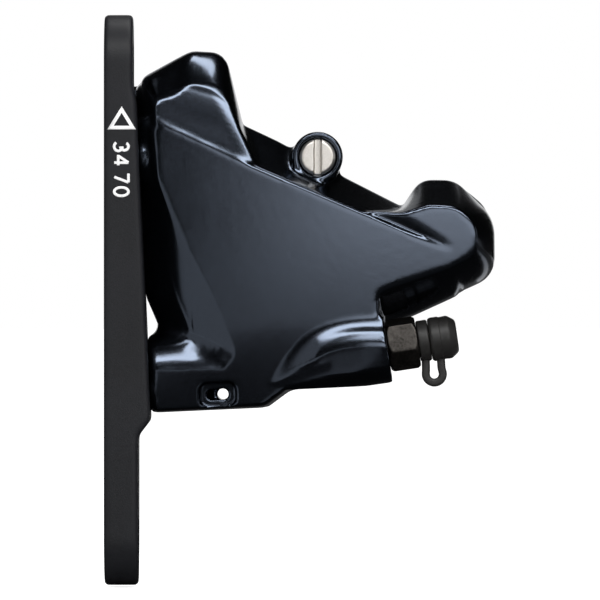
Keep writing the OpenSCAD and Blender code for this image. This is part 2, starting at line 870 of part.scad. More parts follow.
module bleed_nipple() {
    thread_r = nipple_d / 2;
    spout_r = spout_d / 2;
    bevel = 0.55;
    bevel_r = corner_r - bevel;
    start = seat_clearance;
    neck = start + 0.2;
    tip = -nipple_thread + 0.3;
    color(dark_steel)
    on_nipple()
    difference() {
        union() {
            rotate_extrude()
            polygon([[0, tip], [1.2, tip], [thread_r, tip + 1.9], [thread_r, neck], [spout_r, neck],
                [spout_r, spout_end - 0.8], [spout_r - 0.6, spout_end], [0, spout_end]]);
            intersection() {
                translate([0, 0, start])
                rotate(-15)
                cylinder(r = corner_r, h = hex_length - start, $fn = 6);
                rotate_extrude()
                polygon([[0, start - over], [bevel_r - over, start - over], [bevel_r + over, start + over],
                    [bevel_r + over, hex_length - over], [bevel_r - over, hex_length + over],
                    [0, hex_length + over]]);
            }
        }
        translate([0, 0, -nipple_thread / 2])
        cylinder(r = bleed_r, h = spout_end + nipple_thread);
    }
}

module bleed_cap() {
    r = cap_d / 2;
    hole_r = spout_d / 2 + seat_clearance;
    end = cap_start + cap_length;
    color(rubber)
    on_nipple()
    rotate_extrude()
    polygon([[hole_r, cap_start], [r - 0.3, cap_start], [r, cap_start + 0.3], [r, end - 1], [r - 0.9, end],
        [0, end], [0, spout_end + seat_clearance], [hole_r, spout_end + seat_clearance]]);
}

module bleed_cap_collar() {
    inside = spout_d / 2 + seat_clearance;
    outside = cap_d / 2 - 0.2;
    color(rubber)
    on_nipple()
    rotate_extrude()
    polygon([[inside, collar_start], [outside, collar_start], [outside, collar_start + collar_length],
        [inside, collar_start + collar_length]]);
}

// Loop of rubber band that hangs under the collar and the cap
module bleed_cap_strap() {
    loop_r = 1.85;
    drop = cap_d / 2 + 2.2;
    from = collar_start + collar_length / 2;
    to = cap_start + 1.6;
    color(rubber)
    on_nipple()
    difference() {
        translate([0, strap_width / 2, 0])
        rotate([90, 0, 0])
        linear_extrude(strap_width)
        difference() {
            hull() {
                translate([drop, (from + to) / 2 - strap_lean])
                circle(r = loop_r, $fn = 32);
                translate([0, from - strap_sheet / 2])
                square([1, to - from + strap_sheet]);
            }
            hull() {
                translate([drop, (from + to) / 2 - strap_lean])
                circle(r = loop_r - strap_sheet, $fn = 32);
                translate([0, from + strap_sheet / 2])
                square([1, to - from - strap_sheet]);
            }
        }
        cylinder(r = cap_d / 2 + seat_clearance, h = beyond);
    }
}

mount_plate();
caliper_bolts();
outer_body();
inner_body();
body_bolts();
crossover_seal();
outer_piston();
inner_piston();
outer_piston_seal();
inner_piston_seal();
outer_pad_plate();
outer_pad_lining();
inner_pad_plate();
inner_pad_lining();
pad_spring();
pad_axle();
pad_axle_clip();
bleed_nipple();
bleed_cap();
bleed_cap_strap();
bleed_cap_collar();
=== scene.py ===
"""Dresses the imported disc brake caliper: two cast halves, fork plate, pads and bleed screw.

The castings, the plate and the turned steel are worked out as signed distance fields on numpy
grids, and their zero levels become the meshes. Rubber pieces are profiles carried round an axis
or along a path. Sizes are in millimetres, and in metres once they are places in a mesh.
"""

import logging
import math
from dataclasses import dataclass
from enum import Enum
from functools import reduce
from typing import Callable

import bpy
import numpy as np
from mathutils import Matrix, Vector


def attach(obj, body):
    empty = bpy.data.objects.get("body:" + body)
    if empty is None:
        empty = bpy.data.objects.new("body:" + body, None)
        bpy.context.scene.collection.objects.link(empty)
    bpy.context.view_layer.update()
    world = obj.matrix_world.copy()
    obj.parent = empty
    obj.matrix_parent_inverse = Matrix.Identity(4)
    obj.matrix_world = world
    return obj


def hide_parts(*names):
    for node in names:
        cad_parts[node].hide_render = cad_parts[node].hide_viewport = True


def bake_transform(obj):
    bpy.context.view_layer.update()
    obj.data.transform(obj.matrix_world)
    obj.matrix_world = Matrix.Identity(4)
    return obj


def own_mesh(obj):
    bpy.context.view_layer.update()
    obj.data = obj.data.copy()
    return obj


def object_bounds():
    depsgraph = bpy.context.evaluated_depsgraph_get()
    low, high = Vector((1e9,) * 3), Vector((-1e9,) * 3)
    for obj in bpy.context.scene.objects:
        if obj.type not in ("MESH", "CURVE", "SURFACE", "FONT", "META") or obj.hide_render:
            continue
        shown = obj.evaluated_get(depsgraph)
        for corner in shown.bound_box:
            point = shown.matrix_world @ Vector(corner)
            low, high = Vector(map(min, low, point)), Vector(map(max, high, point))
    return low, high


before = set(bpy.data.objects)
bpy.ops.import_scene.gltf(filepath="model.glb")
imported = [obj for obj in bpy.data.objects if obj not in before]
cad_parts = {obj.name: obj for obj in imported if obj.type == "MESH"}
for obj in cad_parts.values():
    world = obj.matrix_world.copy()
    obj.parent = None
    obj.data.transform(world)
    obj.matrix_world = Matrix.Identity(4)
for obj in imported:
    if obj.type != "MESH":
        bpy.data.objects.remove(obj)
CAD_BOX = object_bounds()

LOG = logging.getLogger("caliper")
MM = 0.001
DIAGONAL = math.sqrt(2)
SHARP_EDGE = math.radians(35)
WELD_GAP = 1e-6
ACROSS = np.array([0.0, 1.0, 0.0])
TURNED_ROUND = [0, 3, 2, 1]
Array = np.ndarray


class Wall(Enum):
    """How a casting's wall runs from its side outline to its face outline."""

    STRAIGHT = 0
    ROLLED = 1
    SCOOPED = 2
    EASED = 3
    LEDGE = 4


class Half(Enum):
    """Which half of the body a depth is measured into, from the rotor's plane."""

    OUTER = -1
    INNER = 1


def linear(code: str) -> tuple[float, float, float, float]:
    """Linear RGBA of an sRGB hex code.

    Args:
        code: six hexadecimal digits after a hash sign.

    Returns:
        Red, green, blue and an alpha of 1 for a shader socket.
    """
    parts = np.array([int(code[i : i + 2], 16) for i in (1, 3, 5)]) / 255
    low = parts / 12.92
    high = ((parts + 0.055) / 1.055) ** 2.4
    return (*np.where(parts <= 0.04045, low, high).tolist(), 1.0)


# Frames


@dataclass(frozen=True)
class Seat:
    """The tilted seat of the plate, which carries the caliper."""

    tilt: float = math.radians(2.6)
    thickness: float = 5.8
    rise: float = 5.8
    rotor: float = 13.7

    def place(self, u: Array, y: Array, w: Array) -> Array:
        """Sets places on the seat into the part's frame.

        Args:
            u: distance out from the seat.
            y: plain Y of the part's frame.
            w: distance up along the seat.

        Returns:
            (n, 3) places in metres.
        """
        c, s = math.cos(self.tilt), math.sin(self.tilt)
        x = self.thickness + u * c - w * s
        z = self.rise + u * s + w * c
        return np.stack([x, y + 0 * x, z], -1) * MM

    def half(self, side: Half) -> Callable[[Array], Array]:
        """A function that maps (u, depth, w) rows of one body half into the part's frame."""
        return lambda p: self.place(p[:, 0], self.rotor + side.value * p[:, 1], p[:, 2])


@dataclass(frozen=True)
class NippleFrame:
    """Axis of the bleed screw, which sets (down, across, along) rows into the part's frame."""

    seat: Seat = Seat()
    at: tuple[float, float] = (35.4, -14.25)
    y: float = -0.9
    tilt: float = math.radians(6)

    def place(self, p: Array) -> Array:
        """Sets places round the nipple's axis into the part's frame.

        Args:
            p: (n, 3) rows of (down, across, along).

        Returns:
            (n, 3) places in metres.
        """
        c, s = math.cos(self.tilt), math.sin(self.tilt)
        u = self.at[0] + p[:, 2] * c + p[:, 0] * s
        w = self.at[1] + p[:, 2] * s - p[:, 0] * c
        return self.seat.place(u, self.y + p[:, 1], w)


SEAT = Seat()
NIPPLE = NippleFrame()


# Fields


@dataclass(frozen=True)
class Grid:
    """Axes of a box of sample points, in millimetres."""

    x: Array
    y: Array
    z: Array

    @property
    def axes(self) -> tuple[Array, Array, Array]:
        """The three axes as plain rows."""
        return self.x, self.y, self.z

    @property
    def spread(self) -> tuple[Array, Array, Array]:
        """The three axes shaped so that they broadcast to the whole box."""
        return self.x[:, None, None], self.y[None, :, None], self.z[None, None, :]


def ticks(low: float, high: float, step: float, fine: tuple[float, float, float] | None = None) -> Array:
    """Sample places from low to high, closer together within one stretch.

    Args:
        low: first place.
        high: last place.
        step: distance between places.
        fine: (from, to, step) of the stretch that gets closer places.

    Returns:
        The places in rising order.
    """
    if fine is None:
        return np.linspace(low, high, int(math.ceil((high - low) / step)) + 1)
    first = np.arange(low, fine[0], step)
    middle = np.arange(fine[0], fine[1], fine[2])
    return np.concatenate([first, middle, np.arange(fine[1], high + step, step)])


def joined(a: Array, b: Array, soft: float) -> Array:
    """Union of two fields with a fillet: the lesser of both, less a parabola where they are close."""
    share = np.clip(0.5 + 0.5 * (b - a) / soft, 0, 1)
    return b + (a - b) * share - soft * share * (1 - share)


def cut(a: Array, b: Array, soft: float) -> Array:
    """Field a without field b, with a rounded edge where they meet."""
    return -joined(-a, b, soft)


def common(*fields: Array) -> Array:
    """What several fields have in common: the greatest of them."""
    return reduce(np.maximum, fields)


def bar(u: Array, w: Array, at: tuple[float, float], r: float) -> Array:
    """Distance to a round bar along the third axis: the distance from its middle less its radius."""
    return np.hypot(u - at[0], w - at[1]) - r


def layer(d: Array, low: float, high: float) -> Array:
    """Distance to the layer between two depths."""
    return np.maximum(low - d, d - high)


def oblong(u: Array, w: Array, at: tuple[float, float], reach: float, r: float) -> Array:
    """Distance to a bar with an oblong section: a bar round a line of half length reach."""
    return np.hypot(np.maximum(np.abs(u - at[0]) - reach, 0), w - at[1]) - r


def rim(r: Array, past: Array, radius: float) -> Array:
    """Cone of 45 degrees that bevels a turned rim: r plus the place past the end, less the end's radius."""
    return (r + past - radius) / DIAGONAL


def rod(grid: Grid, start: Array, end: Array, r: float) -> Array:
    """Distance to a round rod: from each sample to its clipped projection on the line, less r.

    Args:
        grid: sample places.
        start: (3,) one end of the rod's line.
        end: (3,) the other end.
        r: the rod's radius.

    Returns:
        Field values, negative inside.
    """
    e = end - start
    v = [axis - at for axis, at in zip(grid.spread, start)]
    t = np.clip((v[0] * e[0] + v[1] * e[1] + v[2] * e[2]) / (e @ e), 0, 1)
    return np.sqrt(sum((v[k] - t * e[k]) ** 2 for k in range(3))) - r


def rounded(corners: Array, radii: Array, steps: int = 7) -> Array:
    """Outline with every corner replaced by an arc that touches both of its sides.

    The arc's reach along a side is r / tan(half the corner's angle), at most a set share of that
    side. A corner that lies on a straight line stays one point.

    Args:
        corners: (n, 2) corners in order.
        radii: (n,) radius of each corner.
        steps: points per corner, less one.

    Returns:
        (n * (steps + 1), 2) points of the outline.
    """
    most, straight, limit = 0.42, math.radians(89), math.radians(89.5)
    before, after = np.roll(corners, 1, 0) - corners, np.roll(corners, -1, 0) - corners
    la, lb = np.linalg.norm(before, axis=1), np.linalg.norm(after, axis=1)
    a, b = before / la[:, None], after / lb[:, None]
    half = np.minimum(np.arccos(np.clip((a * b).sum(1), -1, 1)) / 2, limit)
    reach = np.minimum(radii / np.tan(half), most * np.minimum(la, lb))
    r = np.where(half > straight, 0, reach * np.tan(half))
    inward = a + b
    inward = inward / np.maximum(np.linalg.norm(inward, axis=1), 1e-9)[:, None]
    centre = corners + inward * (r / np.sin(half))[:, None]
    p, q = corners + a * reach[:, None] - centre, corners + b * reach[:, None] - centre
    turn = np.arctan2(p[:, 0] * q[:, 1] - p[:, 1] * q[:, 0], (p * q).sum(1))
    angle = np.arctan2(p[:, 1], p[:, 0])[:, None] + turn[:, None] * np.linspace(0, 1, steps + 1)
    points = centre[:, None] + r[:, None, None] * np.stack([np.cos(angle), np.sin(angle)], -1)
    return points.reshape(-1, 2)


def outline_field(outline: Array, u: Array, w: Array) -> Array:
    """Signed distance to a closed outline, negative inside.

    For each sample the nearest point of every side is a clipped projection, and a sample is
    inside where a ray along +u crosses an odd number of sides.

    Args:
        outline: (m, 2) points in order.
        u: sample places along the first axis.
        w: sample places along the second axis.

    Returns:
        (len(u), len(w)) distances.
    """
    a = outline.astype(np.float32)
    e = np.roll(a, -1, 0) - a
    pu = u.astype(np.float32)[:, None, None] - a[:, 0]
    pw = w.astype(np.float32)[None, :, None] - a[:, 1]
    t = np.clip((pu * e[:, 0] + pw * e[:, 1]) / np.maximum((e * e).sum(1), 1e-9), 0, 1)
    gap = ((pu - t * e[:, 0]) ** 2 + (pw - t * e[:, 1]) ** 2).min(-1)
    spans = (pw >= 0) != (pw >= e[:, 1])
    rise = np.where(np.abs(e[:, 1]) < 1e-9, 1e-9, e[:, 1])
    inside = (spans & (pu < pw * e[:, 0] / rise)).sum(-1) % 2 == 1
    return np.where(inside, -1, 1) * np.sqrt(gap)


def evened(values: Array, grid: Grid) -> Array:
    """Field divided by its own slope where that is over 1, so that it reads as a distance again."""
    slopes = np.gradient(values, *grid.axes)
    return values / np.maximum(np.sqrt(sum(s * s for s in slopes)), 1)


def softened(values: Array, passes: int) -> Array:
    """Field averaged with its neighbours (1, 2, 1) along each axis, which rounds every edge.

    Args:
        values: the field on its grid.
        passes: how often it is averaged.

    Returns:
        The softer field.
    """
    for _ in range(passes):
        for axis in range(3):
            padded = np.pad(values, [(1, 1) if k == axis else (0, 0) for k in range(3)], mode="edge")
            n = values.shape[axis]
            take = [np.take(padded, np.arange(s, s + n), axis) for s in range(3)]
            values = (take[0] + 2 * take[1] + take[2]) / 4
    return values


def surface_net(values: Array, grid: Grid) -> tuple[Array, Array]:
    """Mesh of a field's zero level: one point in each cell that it crosses.

    A cell's point is the mean of the crossings on the cell's edges, and each crossed edge gives
    one quad of the four cells round it, turned so that it faces out.

    Args:
        values: field on the grid, negative inside.
        grid: sample places.

    Returns:
        (n, 3) points and (m, 4) quads.
    """
    values = np.pad(values[1:-1, 1:-1, 1:-1], 1, constant_values=1.0)
    inside = values < 0
    cells = np.array(values.shape) - 1
    stride = np.array([cells[1] * cells[2], cells[2], 1])
    owner, places, quads = [], [], []
    for axis in range(3):
        j, k = (axis + 1) % 3, (axis + 2) % 3
        low = tuple(slice(0, -1) if n == axis else slice(None) for n in range(3))
        high = tuple(slice(1, None) if n == axis else slice(None) for n in range(3))
        at = np.argwhere(inside[low] != inside[high])
        start, end = values[low][tuple(at.T)], values[high][tuple(at.T)]
        place = np.stack([grid.axes[n][at[:, n]] for n in range(3)], 1).astype(float)
        step = grid.axes[axis][at[:, axis] + 1] - grid.axes[axis][at[:, axis]]
        place[:, axis] += step * start / (start - end)
        turns = np.array([[-1, -1], [0, -1], [0, 0], [-1, 0]])
        ring = np.repeat(at[:, None], 4, 1)
        ring[:, :, j] += turns[:, 0]
        ring[:, :, k] += turns[:, 1]
        quad = ring @ stride
        owner.append(quad.ravel())
        places.append(np.repeat(place, 4, 0))
        quads.append(np.where((start < 0)[:, None], quad, quad[:, ::-1]))
    owner, places = np.concatenate(owner), np.concatenate(places)
    used, index = np.unique(owner, return_inverse=True)
    count = np.bincount(index)
    points = np.stack([np.bincount(index, places[:, n]) for n in range(3)], 1) / count[:, None]
    return points, np.searchsorted(used, np.concatenate(quads))


def relaxed(points: Array, quads: Array, passes: int = 2, share: float = 0.5) -> Array:
    """Points moved part of the way to the mean of their neighbours along the quads' sides.

    Args:
        points: (n, 3) places.
        quads: (m, 4) point numbers.
        passes: how often they move.
        share: part of the way that they move each time.

    Returns:
        (n, 3) evened places.
    """
    a, b = quads.ravel(), np.roll(quads, -1, 1).ravel()
    ends = np.concatenate([a, b]), np.concatenate([b, a])
    count = np.bincount(ends[0], minlength=len(points))
    for _ in range(passes):
        mean = np.stack([np.bincount(ends[0], points[ends[1], n], len(points)) for n in range(3)], 1)
        points = points + share * (mean / count[:, None] - points)
    return points


@dataclass(frozen=True)
class WalledForm:
    """A cast form: an upright side outline that runs into a smaller face outline.

    Between the depths side and face, a share s of the way up, each corner lies a share f(s) of
    the way from its side place to its face place: f is s for a straight wall, 1 - sqrt(1 - s^2)
    for a rolled one, s^2 for an eased one, s^3 for a scooped one and s^5 for a ledge. The higher
    the power, the shallower the wall is at the face and the steeper below.
    """

    corners: tuple[tuple[tuple[float, float], tuple[float, float], float, Wall], ...]
    low: float
    side: float
    face: float
    stations: int = 14

    def outline(self, s: float) -> Array:
        """Rounded outline of the form at one level.

        Args:
            s: share of the way from side to face.

        Returns:
            (m, 2) points in order.
        """
        share = {
            Wall.STRAIGHT: s,
            Wall.ROLLED: 1 - math.sqrt(max(0.0, 1 - s * s)),
            Wall.SCOOPED: s**3,
            Wall.EASED: s**2,
            Wall.LEDGE: s**5,
        }
        f = np.array([share[c[3]] for c in self.corners])[:, None]
        side, face = np.array([c[0] for c in self.corners]), np.array([c[1] for c in self.corners])
        return rounded(side + (face - side) * f, np.array([c[2] for c in self.corners]))

    def values(self, grid: Grid, crown: Array | float = 0.0) -> Array:
        """Field of the form on a grid of (u, depth, w).

        Args:
            grid: sample places.
            crown: how far the face lies below its depth at each (u, w).

        Returns:
            Field values, negative inside.
        """
        angle = np.linspace(0, math.pi / 2, self.stations)
        stack = np.stack([outline_field(self.outline(s), grid.x, grid.z) for s in np.sin(angle)])
        d = grid.spread[1]
        rise = np.clip((d - self.side) / (self.face - crown - self.side), 0, 1)
        level = np.arcsin(rise) / (math.pi / 2) * (self.stations - 1)
        low = np.minimum(level.astype(int), self.stations - 2)
        part = (level - low).astype(np.float32)
        i, _, k = np.ogrid[: len(grid.x), : len(grid.y), : len(grid.z)]
        walls = stack[low, i, k] * (1 - part) + stack[low + 1, i, k] * part
        return evened(np.maximum(walls, layer(d, self.low, self.face) + crown), grid)


# Meshes


def sheet_quads(rows: int, columns: int, ring_rows: bool = False, ring_columns: bool = False) -> Array:
    """Quads between neighbouring points of a sheet of rows and columns.

    Args:
        rows: rows of points.
        columns: points in each row.
        ring_rows: True where the last row joins the first.
        ring_columns: True where the last column joins the first.

    Returns:
        (m, 4) point numbers, each quad running along its own row first.
    """
    last = (rows if ring_rows else rows - 1), (columns if ring_columns else columns - 1)
    i, k = np.meshgrid(np.arange(last[0]), np.arange(last[1]), indexing="ij")
    i2, k2 = (i + 1) % rows, (k + 1) % columns
    corners = [i * columns + k, i * columns + k2, i2 * columns + k2, i2 * columns + k]
    return np.stack(corners, -1).reshape(-1, 4)


def closed_lathe(profile: Array, turns: int, loop: bool) -> tuple[Array, list[list[int]]]:
    """Profile carried round an axis: (r cos a, r sin a, along) for each point and angle a.

    Args:
        profile: (n, 2) points of [radius, along]. Ends on the axis become one pole each.
        turns: steps round the axis.
        loop: True for a ring's closed profile, which never meets the axis.

    Returns:
        (down, across, along) points and the faces.
    """
    body = profile if loop else profile[1:-1]
    n = len(body)
    a = np.linspace(0, 2 * math.pi, turns, endpoint=False)
    r, along = body[:, :1], body[:, 1:]
    points = np.stack([r * np.cos(a), r * np.sin(a), along + 0 * a], -1).reshape(-1, 3)
    faces = sheet_quads(n, turns, ring_rows=loop, ring_columns=True).tolist()
    if not loop:
        poles = np.array([[0, 0, profile[0, 1]], [0, 0, profile[-1, 1]]])
        points = np.concatenate([points, poles])
        k = np.arange(turns)
        k2, last = (k + 1) % turns, (n - 1) * turns
        first_fan = np.stack([0 * k + n * turns, k2, k], -1)
        last_fan = np.stack([0 * k + n * turns + 1, last + k, last + k2], -1)
        faces += np.concatenate([first_fan, last_fan]).tolist()
    return points, faces


def eased(corners: list[tuple[float, float]], r: float, loop: bool, steps: int = 5) -> Array:
    """Profile with its corners rounded.

    Args:
        corners: points of the profile in order.
        r: most that a corner is rounded by.
        loop: True for a closed profile. An open one keeps its two ends as they are.
        steps: points per corner, less one.

    Returns:
        (n, 2) points of the profile.
    """
    points = np.array(corners, float)
    soft = rounded(points, np.full(len(points), r), steps)
    if loop:
        return soft
    return np.concatenate([points[:1], soft[steps + 1 : -steps - 1], points[-1:]])


def swept(path: Array, across: Array, section: Array) -> tuple[Array, list[list[int]]]:
    """Closed section carried along an open path, with flat ends.

    At each path point the section's first axis lies along the path's normal in its plane, and
    its second along the given direction across that plane.

    Args:
        path: (n, 3) points.
        across: (3,) unit vector square to the path's plane.
        section: (m, 2) outline of the section.

    Returns:
        Points and faces.
    """
    along = np.gradient(path, axis=0)
    along /= np.linalg.norm(along, axis=1)[:, None]
    normal = np.cross(across, along)
    points = path[:, None] + section[:, :1] * normal[:, None] + section[:, 1:] * across
    n, m = len(path), len(section)
    ends = [list(range(m))[::-1], list(range((n - 1) * m, n * m))]
    return points.reshape(-1, 3), sheet_quads(n, m, ring_columns=True).tolist() + ends


def rectangle(width: float, height: float) -> Array:
    """Corners of an upright rectangle round the origin."""
    return np.array([[-1, -1], [1, -1], [1, 1], [-1, 1]]) * [width / 2, height / 2]


def arc_line(x: float, y: float, rx: float, ry: float, low: float, high: float) -> Array:
    """Points of an elliptic arc round (x, y), between two angles in degrees."""
    a = np.radians(np.linspace(low, high, 40))
    return np.stack([x + rx * np.cos(a), y + ry * np.sin(a)], 1)


def straight_line(start: tuple[float, float], end: tuple[float, float]) -> Array:
    """Points of a straight line between two places."""
    return np.linspace(start, end, 8)


def add_node(tree: bpy.types.NodeTree, kind: str, inputs: dict | None = None, **settings) -> bpy.types.Node:
    """Adds a shader node.

    Args:
        tree: the material's node tree.
        kind: Blender's node type.
        inputs: input name or number to its value, or to the output socket that feeds it.
        settings: the node's properties.

    Returns:
        The new node.
    """
    made = tree.nodes.new(kind)
    for name, value in settings.items():
        setattr(made, name, value)
    for name, value in (inputs or {}).items():
        if isinstance(value, bpy.types.NodeSocket):
            tree.links.new(value, made.inputs[name])
        else:
            made.inputs[name].default_value = value
    return made


def bare_tree(made: bpy.types.Material | bpy.types.World) -> bpy.types.NodeTree:
    """Gives a new material or world a node tree.

    Args:
        made: the material or world.

    Returns:
        Its node tree, with nothing in it yet.
    """
    made.use_nodes = True
    made.node_tree.nodes.clear()
    return made.node_tree


@dataclass(frozen=True)
class Finish:
    """A surface: base colour with a fine pattern, gloss that varies, and a bump.

    grain_mm is the size of the fine pattern, patch_mm that of slow changes across the piece. The
    mean of both runs over span, from the first colour and roughness to the second. A bump is
    bump_mm wide and bump_rise of that high, and bump_strength says how much of it shows. A metal
    has no ior of its own and keeps Blender's.
    """

    name: str
    colour: str
    second: str
    grain_mm: float
    patch_mm: float
    roughness: tuple[float, float]
    bump_mm: float
    bump_strength: float
    metallic: float = 0.0
    bump_rise: float = 0.2
    cells: bool = False
    stretch: tuple[float, float, float] = (1.0, 1.0, 1.0)
    ior: float | None = None
    span: tuple[float, float] = (0.3, 0.7)

    def material(self) -> bpy.types.Material:
        """Material with a noise or cell pattern on Object coordinates, scaled from millimetres.

        Returns:
            The finish's material, made once.
        """
        known = bpy.data.materials.get(self.name)
        if known:
            return known
        made = bpy.data.materials.new(self.name)
        tree = bare_tree(made)
        at = add_node(tree, "ShaderNodeTexCoord").outputs["Object"]
        drawn = add_node(tree, "ShaderNodeMapping", {"Vector": at, "Scale": self.stretch}).outputs[0]
        kind = "ShaderNodeTexVoronoi" if self.cells else "ShaderNodeTexNoise"
        grain = add_node(tree, kind, {"Vector": drawn, "Scale": 1 / (self.grain_mm * MM)})
        slow = {"Vector": at, "Scale": 1 / (self.patch_mm * MM), "Detail": 3.0}
        patch = add_node(tree, "ShaderNodeTexNoise", slow)
        fine = grain.outputs["Color" if self.cells else "Fac"]
        both = add_node(tree, "ShaderNodeMath", {0: fine, 1: patch.outputs["Fac"]}, operation="ADD")
        half = add_node(tree, "ShaderNodeMath", {0: both.outputs[0], 1: 0.5}, operation="MULTIPLY")
        tone = add_node(tree, "ShaderNodeValToRGB", {"Fac": half.outputs[0]})
        for stop, place, colour in zip(tone.color_ramp.elements, self.span, (self.colour, self.second)):
            stop.position = place
            stop.color = linear(colour)
        ends = dict(zip(("From Min", "From Max", "To Min", "To Max"), self.span + self.roughness))
        gloss = add_node(tree, "ShaderNodeMapRange", {"Value": half.outputs[0], **ends})
        look = {
            "Base Color": tone.outputs[0],
            "Roughness": gloss.outputs[0],
            "Metallic": self.metallic,
        }
        if self.ior:
            look["IOR"] = self.ior
        shade = add_node(tree, "ShaderNodeBsdfPrincipled", look)
        small = {"Vector": drawn, "Scale": 1 / (self.bump_mm * MM), "Detail": 2.0}
        bumps = add_node(tree, "ShaderNodeTexNoise", small)
        height = {"Strength": self.bump_strength, "Distance": self.bump_mm * MM * self.bump_rise}
        raised = add_node(tree, "ShaderNodeBump", {"Height": bumps.outputs["Fac"], **height})
        tree.links.new(raised.outputs[0], shade.inputs["Normal"])
        add_node(tree, "ShaderNodeOutputMaterial", {"Surface": shade.outputs[0]})
        return made


# Real flakes, crystals, pits and rolling lines are under 0.1 mm. They are drawn coarser, so that they show.

# Gloss graphite paint with fine metal flake on cast aluminium: slate where it faces light, else black
GRAPHITE = Finish(
    "Flake paint on cast aluminium", "#484e58", "#4c535e", 0.16, 9.0, (0.15, 0.19), metallic=1.0,
    bump_mm=1.6, bump_strength=0.018, cells=True,
)
# Bead-blasted and black anodised aluminium: even, matt, with a fine sparkle of the blasting
ANODISED = Finish(
    "Black anodised blasted aluminium", "#131417", "#1a1b20", 0.22, 9.0, (0.46, 0.56), bump_mm=0.25,
    bump_strength=0.35, ior=1.38,
)
# Manganese phosphated steel: dark brown-grey crystals with a dull metal gleam
PHOSPHATED = Finish(
    "Phosphated steel", "#2a2826", "#4b4845", 0.4, 1.8, (0.28, 0.42), metallic=0.95, bump_mm=0.2,
    bump_strength=0.25,
)
# Bead-blasted stainless steel: pale warm grey, soft gleam, fine pits
STAINLESS = Finish(
    "Blasted stainless steel", "#e2ddd6", "#f4f0ea", 0.22, 2.0, (0.34, 0.46), metallic=1.0,
    bump_mm=0.18, bump_strength=0.35,
)
# Rolled spring steel: bright with fine lines along the sheet
SPRING = Finish(
    "Rolled spring steel", "#a9a7a4", "#c9c7c4", 0.25, 3.0, (0.22, 0.34), metallic=1.0, bump_mm=0.2,
    bump_strength=0.12, stretch=(1.0, 1.0, 0.12),
)
# Moulded black rubber: soft grey sheen over black, faint mould texture
RUBBER = Finish(
    "Moulded black rubber", "#181716", "#21201f", 0.25, 2.5, (0.42, 0.55), bump_mm=0.22,
    bump_strength=0.2, ior=1.5,
)
# Ground ceramic: off-white, dense, with a slight polish
CERAMIC = Finish(
    "Ground ceramic", "#b8b0a4", "#cbc4b8", 0.3, 4.0, (0.22, 0.32), bump_mm=0.2, bump_strength=0.06,
    ior=1.7,
)
# Pressed resin lining with metal fibre: brown-grey, coarse and dull
LINING = Finish(
    "Pressed friction lining", "#3a302a", "#6b5a4c", 0.45, 2.0, (0.7, 0.9), bump_mm=0.4,
    bump_strength=0.7, cells=True, ior=1.45,
)
# White pad-printed ink on the plate: flat, a little worn
INK = Finish(
    "Printed white ink", "#dcdcdc", "#f0f0f0", 0.2, 1.0, (0.5, 0.6), bump_mm=0.15, bump_strength=0.05,
    ior=1.45,
)


def add_object(name: str, points: Array, faces: Array | list, stuff: bpy.types.Material) -> bpy.types.Object:
    """Makes a mesh object and links it to the scene.

    Args:
        name: the object's name.
        points: (n, 3) places in metres.
        faces: corner numbers of each face.
        stuff: its material.

    Returns:
        The new object.
    """
    mesh = bpy.data.meshes.new(name)
    mesh.from_pydata(points.tolist(), [], faces.tolist() if isinstance(faces, np.ndarray) else faces)
    mesh.materials.append(stuff)
    mesh.validate()
    made = bpy.data.objects.new(name, mesh)
    bpy.context.scene.collection.objects.link(made)
    return made


def shade_smooth(mesh: bpy.types.Mesh) -> None:
    """Shades every face of a mesh smooth."""
    mesh.polygons.foreach_set("use_smooth", np.ones(len(mesh.polygons), bool))


def split_edges(made: bpy.types.Object) -> None:
    """Keeps a smooth piece's sharp edges sharp."""
    split = made.modifiers.new("edges", "EDGE_SPLIT")
    split.split_angle = SHARP_EDGE


def add_piece(
    name: str, points: Array, faces: Array | list, finish: Finish, body: str, slot: str, node: str | None
) -> bpy.types.Object:
    """Makes a piece from places in the part's frame, dresses it and sets it on its body.

    Args:
        name: the piece's name.
        points: (n, 3) places in metres.
        faces: corner numbers of each face.
        finish: its surface.
        body: CAD body that it rides on, or an empty string for one that rides on none.
        slot: material slot of the record; not used.
        node: CAD node that it stands for, or None.

    Returns:
        The new object.
    """
    made = add_object(name, points, faces, finish.material())
    shade_smooth(made.data)
    if body:
        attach(made, body)
    if node:
        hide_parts(node)
    LOG.info("%s: %d points, %d faces", name, len(made.data.vertices), len(made.data.polygons))
    return made


def net_piece(
    name: str,
    values: Array,
    grid: Grid,
    place: Callable[[Array], Array],
    finish: Finish,
    body: str,
    slot: str,
    node: str,
    mirrored: bool = False,
    passes: int = 2,
) -> bpy.types.Object:
    """Piece from a field's zero level, mapped into the part's frame.

    Args:
        name: the piece's name.
        values: field on the grid.
        grid: sample places.
        place: maps the grid's rows into the part's frame.
        finish: its surface.
        body: CAD body that it rides on.
        slot: material slot of the record.
        node: CAD node that it stands for.
        mirrored: True where the map turns the shape inside out.
        passes: how often the mesh is evened out.

    Returns:
        The new object.
    """
    points, quads = surface_net(values, grid)
    points = relaxed(points, quads, passes)
    return add_piece(name, place(points), quads[:, ::-1] if mirrored else quads, finish, body, slot, node)


def wear_node(node: str, finish: Finish, edge_mm: float = 0.0) -> None:
    """Gives a CAD node its finish, and where it helps a small bevel on its sharp edges.

    Args:
        node: the CAD node.
        finish: its surface.
        edge_mm: width of the bevel, or 0 for none.
    """
    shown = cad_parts[node]
    shown.data.materials.clear()
    shown.data.materials.append(finish.material())
    shade_smooth(shown.data)
    weld = shown.modifiers.new("weld", "WELD")
    weld.merge_threshold = WELD_GAP
    if edge_mm:
        bevel = shown.modifiers.new("edges", "BEVEL")
        bevel.width, bevel.segments = edge_mm * MM, 2
        bevel.limit_method, bevel.angle_limit = "ANGLE", SHARP_EDGE
        bevel.harden_normals = True
    else:
        split_edges(shown)
    LOG.info("%s keeps its solid, as %s", node, finish.name)


# The object


